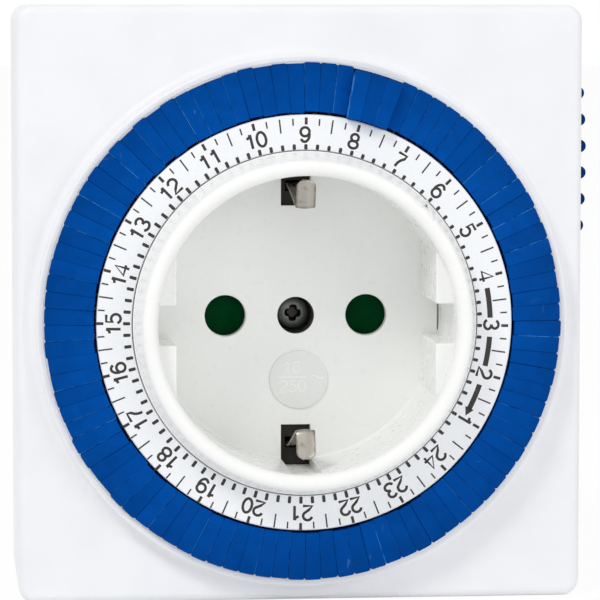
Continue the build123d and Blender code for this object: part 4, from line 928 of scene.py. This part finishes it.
def make_segments(dial):
    """The 96 segments: those that move by themselves one by one, the others as one piece."""
    chance = random.Random(24)
    singles = sum(name.startswith("segment_") and name[8:].isdigit() for name in frame["nodes"])
    ring = bmesh.new()
    for index in range(dial.count):
        if index < singles:
            bm = bmesh.new()
            add_segment(bm, dial, index, index in RAISED, chance, single=True)
            name = f"segment_{index + 1:02d}"
            segments_piece(bm, f"blue_{name}", name, name)
        else:
            add_segment(ring, dial, index, False, chance)
    segments_piece(ring, "blue_segments", "dial", "segments_lowered")


# -------------------------------------------------------------------- socket

DISC_HEIGHT = 0.25 * MM     # raised disc above the floor of the well
RATED_HEIGHT = 1.8 * MM     # figures of the disc
RATED_STROKE = 0.26 * MM
RATED_RELIEF = 0.06 * MM
CURRENT_AT = (-0.98 * MM, 1.63 * MM)        # middles of the figures, from the disc's middle
VOLTAGE_AT = (-0.87 * MM, -0.94 * MM)
FRACTION_BAR_Z = 0.31 * MM
FRACTION_BAR_SPAN = (-2.85 * MM, 1.0 * MM)
WAVE_START, WAVE_LENGTH = 1.66 * MM, 1.75 * MM
WAVE_Z, WAVE_SWING = 0.28 * MM, 0.2 * MM
WAVE_STEPS = 14
RIM_TIP = 0.95 * MM         # rounding of the rim's outer shoulder
PAD_ROUNDING = 0.95 * MM    # rounding of the guide pads
HUB_R = 3.6 * MM            # hub behind the floor, round the screw
SCREW_WAY_R = 1.65 * MM
RECESS_DEPTH = 5.4 * MM     # screw's recess, from the floor of the well
FLOOR_APERTURE = (14.75 * MM, 19.0 * MM)    # radii of the clips' openings in the floor
WALL_APERTURE = (18.9 * MM, 20.4 * MM)      # and in the wall of the well
APERTURE_DROP = 2.8 * MM    # from the crest to the openings in the wall
POINTER_REACH, POINTER_WIDTH, POINTER_PROUD = 3.0 * MM, 0.5 * MM, 0.2 * MM


def rim_profile(socket, crest_y, shoulder_y, rear_y, floor_y):
    """Section of the insert: floor, well wall, rounded mouth, rim and outer wall."""
    well, crest, foot = socket.well, socket.crest, socket.foot
    mouth = crest - well
    corner, chamfer = 0.3 * MM, 0.12 * MM
    wall_r = well + socket.wall
    return ([(0, rear_y), (0, floor_y)]
            + arc((well - corner, floor_y - corner), corner, 90, 0, 3)
            + arc((well + mouth, crest_y + mouth), mouth, 180, 270, 8)
            + arc((crest, crest_y + RIM_TIP), RIM_TIP, -80, -15, 6)
            + [(foot - chamfer, shoulder_y - chamfer), (foot, shoulder_y), (wall_r, shoulder_y),
               (wall_r, rear_y)])


def guide_pad(socket, side, half, floor_y):
    """One of the four pads of the guide flats, its front and inner edges rounded."""
    bm = bmesh.new()
    front_y = floor_y - socket.flat_height
    lying = Matrix.Rotation(math.radians(90), 4, "X")
    bmesh.ops.create_circle(bm, cap_ends=True, segments=160, radius=socket.well + 0.3 * MM,
                            matrix=Matrix.Translation((0, floor_y + 0.2 * MM, 0)) @ lying)
    for place, normal in (((side * socket.flat, 0, 0), (-side, 0, 0)),
                          ((0, 0, half * socket.notch), (0, 0, -half))):
        bmesh.ops.bisect_plane(bm, geom=bm.verts[:] + bm.edges[:] + bm.faces[:], plane_co=place,
                               plane_no=normal, clear_outer=True)
    for vertex in bmesh.ops.extrude_face_region(bm, geom=bm.faces[:])["geom"]:
        if isinstance(vertex, bmesh.types.BMVert):
            vertex.co.y = front_y

    def exposed(edge):
        places = [v.co for v in edge.verts]
        at_front = all(abs(place.y - front_y) < NEAR for place in places)
        at_flat = all(abs(place.x) < socket.flat + 5 * NEAR for place in places)
        at_notch = all(abs(place.z) < socket.notch + 5 * NEAR for place in places)
        return (at_front and (at_flat or at_notch)) or (at_flat and at_notch)

    round_edges(bm, [edge for edge in bm.edges if exposed(edge)], PAD_ROUNDING, 6)
    return make_object(bm, "guide_pad")


def flared_cutter(x, z, radius, front_y, rear_y, flare):
    """Round cutter whose mouth leaves a small rounding."""
    profile = ([(0, front_y - 3 * MM), (radius + flare, front_y - 3 * MM)]
               + arc((radius + flare, front_y + flare), flare, -90, -180, 4)
               + [(radius, rear_y), (0, rear_y)])
    return lathe("cutter", profile, 96, (x, z))


def rim_pointer(socket, crest_y, shoulder_y):
    """Embossed angle on the rim that marks the time."""
    crest, foot = socket.crest, socket.foot
    inner = socket.well + 0.9 * MM
    skin = lathe("skin", [(inner, shoulder_y), (foot + POINTER_PROUD, shoulder_y)]
                 + arc((crest, crest_y + RIM_TIP), RIM_TIP + 0.75 * POINTER_PROUD, -15, -58, 6)
                 + [(inner, crest_y + 0.5 * MM)])
    apex = (foot + 0.25 * MM) * math.sqrt(0.5)
    front_y, rear_y = crest_y - 1 * MM, shoulder_y + 1 * MM
    first = box_piece("bar", (apex - POINTER_REACH, front_y, apex - POINTER_WIDTH),
                      (apex, rear_y, apex))
    second = box_piece("bar", (apex - POINTER_WIDTH, front_y, apex - POINTER_REACH),
                       (apex, rear_y, apex - POINTER_WIDTH / 2))
    cut(first, second, "UNION")
    return cut(skin, first, "INTERSECT")


def raised_disc(socket, floor_y):
    """Disc with a rounded edge that carries the rated values."""
    front_y, edge = floor_y - DISC_HEIGHT, 0.12 * MM
    return lathe("disc", [(0, floor_y + 0.2 * MM), (socket.disc, floor_y + 0.2 * MM)]
                 + arc((socket.disc - edge, front_y + edge), edge, 0, -90, 3) + [(0, front_y)],
                 96, (socket.disc_right, -socket.disc_down))


def make_socket(socket):
    """Socket insert: rim, well, floor, guide pads, openings, raised disc and pointer."""
    crest_y, hub_rear = low("socket_insert").y, high("socket_insert").y
    floor_y = crest_y + WELL_DEPTH
    rear_y = floor_y + FLOOR_WALL
    past_rear = rear_y + 1 * MM
    shoulder_y = low("dial_ring").y - 0.15 * MM
    insert = lathe("socket_body", rim_profile(socket, crest_y, shoulder_y, rear_y, floor_y))
    for side in (-1, 1):
        for half in (-1, 1):
            cut(insert, guide_pad(socket, side, half, floor_y), "UNION")
    cut(insert, lathe("tube", bar_profile(HUB_R, floor_y + 1 * MM, hub_rear), 96), "UNION")
    cut(insert, raised_disc(socket, floor_y), "UNION")
    for side in (-1, 1):
        cut(insert, flared_cutter(side * socket.pin_spacing / 2, 0, socket.pin_hole, floor_y,
                                  past_rear, 0.25 * MM))
    cut(insert, flared_cutter(0, 0, socket.recess, floor_y, floor_y + RECESS_DEPTH, 0.1 * MM))
    slit_half = socket.notch - 0.5 * MM
    for side in (-1, 1):
        near, far = sorted(side * (socket.well - inset) for inset in (0.35 * MM, 0.1 * MM))
        cut(insert, box_piece("slit", (near, floor_y - 0.1 * MM, -slit_half),
                              (far, floor_y + 0.8 * MM, slit_half)))
    cut(insert, lathe("screw_way", bar_profile(SCREW_WAY_R, floor_y, hub_rear + MM), 64))
    apertures = ((FLOOR_APERTURE, floor_y - 1 * MM), (WALL_APERTURE, crest_y + APERTURE_DROP))
    for side in (-1, 1):
        for radii, front_y in apertures:
            near, far = sorted(side * radius for radius in radii)
            cut(insert, box_piece("aperture", (-socket.aperture, front_y, near),
                                  (socket.aperture, past_rear, far)))
    cut(insert, rim_pointer(socket, crest_y, shoulder_y), "UNION")
    even_normals(insert)
    dress(insert, "root", "socket_white", replaced=["socket_insert"])


def make_rated_values(socket):
    """Raised figures of the disc: current over voltage, and the wave of alternating current."""
    face_y = low("socket_insert").y + WELL_DEPTH - DISC_HEIGHT
    body = RATED_HEIGHT - RATED_STROKE
    lines = digit_lines("16", body, CURRENT_AT) + digit_lines("250", body, VOLTAGE_AT)
    lines.append([Vector((x, 0, FRACTION_BAR_Z)) for x in FRACTION_BAR_SPAN])
    lines.append([Vector((WAVE_START + WAVE_LENGTH * k / WAVE_STEPS, 0,
                          WAVE_Z + WAVE_SWING * math.sin(TURN * (k / WAVE_STEPS + 0.04))))
                  for k in range(WAVE_STEPS + 1)])
    place = Vector((socket.disc_right, face_y, -socket.disc_down))
    figures = strokes_to_piece("rated_values", lines, RATED_STROKE, place, RATED_RELIEF)
    dress(figures, "root", "socket_white")


# ------------------------------------------------------------- clips and screw

CLIP_RISE = 0.57 * MM       # both earth clips sit a little high
CLIP_PEAK, CLIP_TIP, CLIP_LEG = 14.5 * MM, 18.3 * MM, 17.5 * MM     # distances from the axis
CLIP_PEAK_DROP, CLIP_TIP_DROP = 4.5 * MM, 3.3 * MM      # from the rim's crest
CLIP_BENDS = (0.75 * MM, 3.0 * MM, 0.9 * MM)    # reach of the bends, from the tip
CLIP_WIDTH, CLIP_THICKNESS, CLIP_CROWN = 2.5 * MM, 0.32 * MM, 0.16 * MM
CLIP_END = 0.9 * MM         # length of the rounded end
STRIP_STEP = 0.25 * MM      # rows of the mesh near an end
BEND_STEPS = 5              # rows of the mesh in a bend
SCREW_HEAD_R, SCREW_SHANK_R = 2.3 * MM, 1.5 * MM
SCREW_HEAD_HEIGHT, SCREW_EDGE = 1.4 * MM, 0.45 * MM
CROSS_LENGTH, CROSS_WIDTH = 1.36 * MM, 0.62 * MM        # both from the middle
CROSS_DEPTH = 1.1 * MM
CROSS_TURN = 4              # degrees


def rounded_path(points, reach):
    """A path with rounded corners; reach says how far from each corner its rounding starts."""
    path = [Vector(points[0])]
    for before, corner, after, length_used in zip(points, points[1:], points[2:], reach):
        before, corner, after = Vector(before), Vector(corner), Vector(after)
        start = corner + (before - corner).normalized() * length_used
        end = corner + (after - corner).normalized() * length_used
        for k in range(BEND_STEPS + 1):
            t = k / BEND_STEPS
            path.append(start * (1 - t) ** 2 + corner * (2 * t * (1 - t)) + end * t ** 2)
    path.append(Vector(points[-1]))
    return path


def strip_piece(name, path, width, thickness, tip, crown):
    """Bent strip of sheet metal along a path of (y, z) points, crowned, round at both ends."""
    runs = [(second - first).length for first, second in zip(path, path[1:])]
    total = sum(runs)
    places, passed = [], 0.0
    for first, second, run in zip(path, path[1:], runs):
        near_end = passed < tip * 1.5 or total - passed - run < tip * 1.5
        pieces = max(1, math.ceil(run / STRIP_STEP)) if near_end else 1
        places += [(passed + run * k / pieces, first.lerp(second, k / pieces))
                   for k in range(pieces)]
        passed += run
    places.append((total, path[-1]))
    bm = bmesh.new()
    across = [-1 + k / 4 for k in range(9)]
    rows = []
    for index, (along, place) in enumerate(places):
        sunk = max(0.0, 1 - min(along, total - along) / tip)
        half = width / 2 * math.sqrt(max(0.08, 1 - sunk ** 2))
        ahead = places[min(index + 1, len(places) - 1)][1] - places[max(index - 1, 0)][1]
        sunken = Vector((-ahead.y, ahead.x)).normalized() * crown
        rows.append([bm.verts.new((share * half, *(place + sunken * share ** 2)))
                     for share in across])
    for row, following in zip(rows, rows[1:]):
        for k in range(len(across) - 1):
            bm.faces.new((row[k], row[k + 1], following[k + 1], following[k]))
    piece = make_object(bm, name, 40)
    wall = piece.modifiers.new("thickness", "SOLIDIFY")
    wall.thickness = thickness
    wall.offset = 0
    wall.use_even_offset = True
    edges = piece.modifiers.new("edges", "BEVEL")
    edges.width = 0.16 * thickness
    edges.segments = 2
    edges.limit_method = "ANGLE"
    edges.angle_limit = math.radians(50)
    return settle(piece, 40)


def make_earth_strap():
    """Earth strap: a strip across the block whose two ends rise and fold back as clips."""
    crest_y = low("socket_insert").y
    rear_y = high("earth_strap").y - 0.3 * MM
    points, reach = [], []
    for side in (1, -1):
        leg_z = side * CLIP_LEG
        arm = [(crest_y + CLIP_TIP_DROP, side * CLIP_TIP + CLIP_RISE),
               (crest_y + CLIP_PEAK_DROP, side * CLIP_PEAK + CLIP_RISE),
               (crest_y + WELL_DEPTH - 1.0 * MM, leg_z), (rear_y, leg_z)]
        points += arm[::side]
        reach += CLIP_BENDS[::side]
    strap = strip_piece("earth_clips", rounded_path(points, reach), CLIP_WIDTH, CLIP_THICKNESS,
                        CLIP_END, CLIP_CROWN)
    dress(strap, "root", "clip_nickel", replaced=["earth_strap"])


def make_centre_screw():
    """Screw of the well's floor: crowned head with a cross recess, and its shank."""
    front_y, end_y = low("centre_screw").y, high("centre_screw").y
    under_head = front_y + SCREW_HEAD_HEIGHT
    edge_at = (SCREW_HEAD_R - SCREW_EDGE, front_y + SCREW_EDGE + 0.15 * MM)
    profile = ([(0, front_y), (0.6 * SCREW_HEAD_R, front_y + 0.06 * MM)]
               + arc(edge_at, SCREW_EDGE, -75, 0, 5)
               + [(SCREW_HEAD_R, under_head), (SCREW_SHANK_R, under_head), (SCREW_SHANK_R, end_y),
                  (0, end_y)])
    screw = lathe("cross_screw", profile, 96)
    for turn in (0, 90):
        bm = bmesh.new()
        corners = add_box(bm, (-CROSS_LENGTH, front_y - 0.5 * MM, -CROSS_WIDTH),
                          (CROSS_LENGTH, front_y + CROSS_DEPTH, CROSS_WIDTH))
        for vertex in corners:
            if vertex.co.y > front_y:
                vertex.co.x *= 0.5
                vertex.co.z *= 0.6
        upright = [edge for edge in edges_of(corners)
                   if abs((edge.verts[0].co - edge.verts[1].co).y) > 0.5 * MM]
        round_edges(bm, upright, 0.52 * MM, 4)
        bmesh.ops.transform(bm, matrix=about_axis(math.radians(turn + CROSS_TURN)), verts=bm.verts)
        cut(screw, make_object(bm, "cross"))
    even_normals(screw)
    dress(screw, "root", "screw_zinc", replaced=["centre_screw"])


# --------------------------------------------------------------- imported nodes


def dress_packed_nodes():
    """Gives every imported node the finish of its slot."""
    slots = {entry["node"]: entry["material_slot"] for entry in frame["record"]["subparts"]}
    # the slider takes the darker copy of the segments' blue, which is painted shade
    slots["override_slider"] = "slider_shaded_blue"
    for name, node in frame["nodes"].items():
        node.data.materials.clear()
        node.data.materials.append(finish_named(slots[name]))


# --------------------------------------------------------------------- stage

CAMERA_LENS = 218.9
CAMERA_PLACE = (-48.74, -526.69, 42.06)     # millimetres
CAMERA_TURNS = (5.793, 4.681, 0.034)        # yaw, pitch and roll, degrees
WORLD_LIGHT = 0.69
LAMP_AIM = (0, -0.04, 0)
LAMPS = {   # place, size and power
    "key": ((-0.62, -0.75, 0.95), 0.36, 5.3),
    "fill": ((0.8, -0.9, 0.2), 0.6, 2.0),
}
FLOOR_GLOW = 0.93           # how white the floor shows, as a share


def camera_matrix(place, yaw, pitch, roll):
    """Pose of a camera that looks along +Y, turned right by the yaw and down by the pitch."""
    level = math.cos(pitch)
    forward = Vector((math.sin(yaw) * level, math.cos(yaw) * level, -math.sin(pitch)))
    right = Vector((math.cos(yaw), -math.sin(yaw), 0))
    up = right.cross(forward)
    turned_right = right * math.cos(roll) + up * math.sin(roll)
    turned_up = -right * math.sin(roll) + up * math.cos(roll)
    matrix = Matrix((turned_right, turned_up, -forward)).transposed().to_4x4()
    matrix.translation = place
    return matrix


def make_camera():
    data = bpy.data.cameras.new("camera")
    data.lens = CAMERA_LENS
    data.sensor_width = 36.0
    data.clip_end = 20.0
    camera = link_object("camera", data)
    camera.matrix_world = camera_matrix(Vector(CAMERA_PLACE) * MM, *map(math.radians, CAMERA_TURNS))
    bpy.context.scene.camera = camera


def make_lamp(name, place, size, power):
    """Round lamp that looks at the middle of the casing."""
    data = bpy.data.lights.new(name, "AREA")
    data.shape = "DISK"
    data.size = size
    data.energy = power
    lamp = link_object(name, data)
    place = Vector(place)
    lamp.matrix_world = (Vector(LAMP_AIM) - place).to_track_quat("-Z", "Y").to_matrix().to_4x4()
    lamp.matrix_world.translation = place


def seen_directly(tree):
    """1 for rays that show the background itself: camera, glossy and transmission rays."""
    path = tree.nodes.new("ShaderNodeLightPath")
    total = path.outputs["Is Camera Ray"]
    for name in ("Is Glossy Ray", "Is Transmission Ray"):
        node = tree.nodes.new("ShaderNodeMath")
        node.operation = "MAXIMUM"
        tree.links.new(total, node.inputs[0])
        tree.links.new(path.outputs[name], node.inputs[1])
        total = node.outputs[0]
    return total


def make_world(strength):
    """White surroundings: as written to the eye, softer as a light."""
    world = bpy.data.worlds.new("surroundings")
    bpy.context.scene.world = world
    world.use_nodes = True
    tree = world.node_tree
    background = tree.nodes["Background"]
    background.inputs["Color"].default_value = (1, 1, 1, 1)
    level = tree.nodes.new("ShaderNodeMapRange")
    level.inputs["To Min"].default_value = strength
    level.inputs["To Max"].default_value = 1.0
    tree.links.new(seen_directly(tree), level.inputs["Value"])
    tree.links.new(level.outputs["Result"], background.inputs["Strength"])


def make_floor():
    """Pale floor that keeps the shadow and otherwise shows white."""
    bm = bmesh.new()
    bmesh.ops.create_grid(bm, x_segments=8, y_segments=8, size=4.0)
    bmesh.ops.translate(bm, vec=(0, 0, cad_bounds[0][2]), verts=bm.verts)
    floor = make_object(bm, "floor")
    paper = Finish("floor_paper", 0.9)
    paper.put("Base Color", (0.97, 0.97, 0.97, 1))
    paper.put("Specular IOR Level", 0.0)
    share = paper.math("MULTIPLY", seen_directly(paper.tree), FLOOR_GLOW)
    glow = paper.node("Emission", {})[0]
    blended = paper.node("MixShader", {0: share, 1: paper.shader.outputs[0], 2: glow})[0]
    paper.fill(paper.tree.nodes["Material Output"].inputs["Surface"], blended)
    floor.data.materials.append(paper.material)


# ----------------------------------------------------------------- operators


class TIMER_OT_finishes(Operator):
    """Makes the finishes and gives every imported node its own"""

    bl_idname = "segment_timer.finishes"
    bl_label = "Finishes"

    def execute(self, context):
        scene = context.scene
        make_finishes(scene.timer_colours, scene.timer_dial, scene.timer_socket)
        dress_packed_nodes()
        return {"FINISHED"}


class TIMER_OT_front_casing(Operator):
    """Builds the front half of the casing with its collar"""

    bl_idname = "segment_timer.front_casing"
    bl_label = "Front Casing"

    def execute(self, context):
        make_front_casing(context.scene.timer_casing, context.scene.timer_dial)
        return {"FINISHED"}


class TIMER_OT_dial(Operator):
    """Builds the dial ring and its print"""

    bl_idname = "segment_timer.dial"
    bl_label = "Dial"

    def execute(self, context):
        make_dial(context.scene.timer_dial, context.scene.timer_socket)
        make_print(context.scene.timer_dial, context.scene.timer_socket)
        return {"FINISHED"}


class TIMER_OT_segments(Operator):
    """Builds the ring of switching segments"""

    bl_idname = "segment_timer.segments"
    bl_label = "Segments"

    def execute(self, context):
        make_segments(context.scene.timer_dial)
        return {"FINISHED"}


class TIMER_OT_socket(Operator):
    """Builds the socket insert"""

    bl_idname = "segment_timer.socket"
    bl_label = "Socket"

    def execute(self, context):
        make_socket(context.scene.timer_socket)
        make_rated_values(context.scene.timer_socket)
        return {"FINISHED"}


class TIMER_OT_well_metal(Operator):
    """Builds the earth clips and the screw of the well"""

    bl_idname = "segment_timer.well_metal"
    bl_label = "Clips and Screw"

    def execute(self, context):
        make_earth_strap()
        make_centre_screw()
        return {"FINISHED"}


class TIMER_OT_stage(Operator):
    """Sets the camera, the lamps, the surroundings and the floor"""

    bl_idname = "segment_timer.stage"
    bl_label = "Stage"

    def execute(self, context):
        make_camera()
        make_world(WORLD_LIGHT)
        for name, settings in LAMPS.items():
            make_lamp(name, *settings)
        make_floor()
        context.scene.view_settings.view_transform = "Standard"
        return {"FINISHED"}


OPERATORS = (
    TIMER_OT_finishes,
    TIMER_OT_front_casing,
    TIMER_OT_dial,
    TIMER_OT_segments,
    TIMER_OT_socket,
    TIMER_OT_well_metal,
    TIMER_OT_stage,
)
GROUPS = {
    "timer_casing": TimerCasing,
    "timer_dial": TimerDial,
    "timer_socket": TimerSocket,
    "timer_colours": TimerColours,
}


class TIMER_PT_panel(Panel):
    """Lists the timer's sizes, colours and pieces"""

    bl_label = "Segment Timer"
    bl_space_type = "VIEW_3D"
    bl_region_type = "UI"
    bl_category = "Segment Timer"

    def draw(self, context):
        for name, group in GROUPS.items():
            box = self.layout.box()
            for field in group.__annotations__:
                box.prop(getattr(context.scene, name), field)
        for operator in OPERATORS:
            self.layout.operator(operator.bl_idname)


CLASSES = (*GROUPS.values(), *OPERATORS, TIMER_PT_panel)


def register():
    for made in CLASSES:
        bpy.utils.register_class(made)
    for name, group in GROUPS.items():
        setattr(bpy.types.Scene, name, PointerProperty(type=group))


def unregister():
    for name in GROUPS:
        delattr(bpy.types.Scene, name)
    for made in reversed(CLASSES):
        bpy.utils.unregister_class(made)


def main():
    register()
    for operator in OPERATORS:
        family, action = operator.bl_idname.split(".")
        getattr(getattr(bpy.ops, family), action)()


if __name__ == "__main__":
    main()
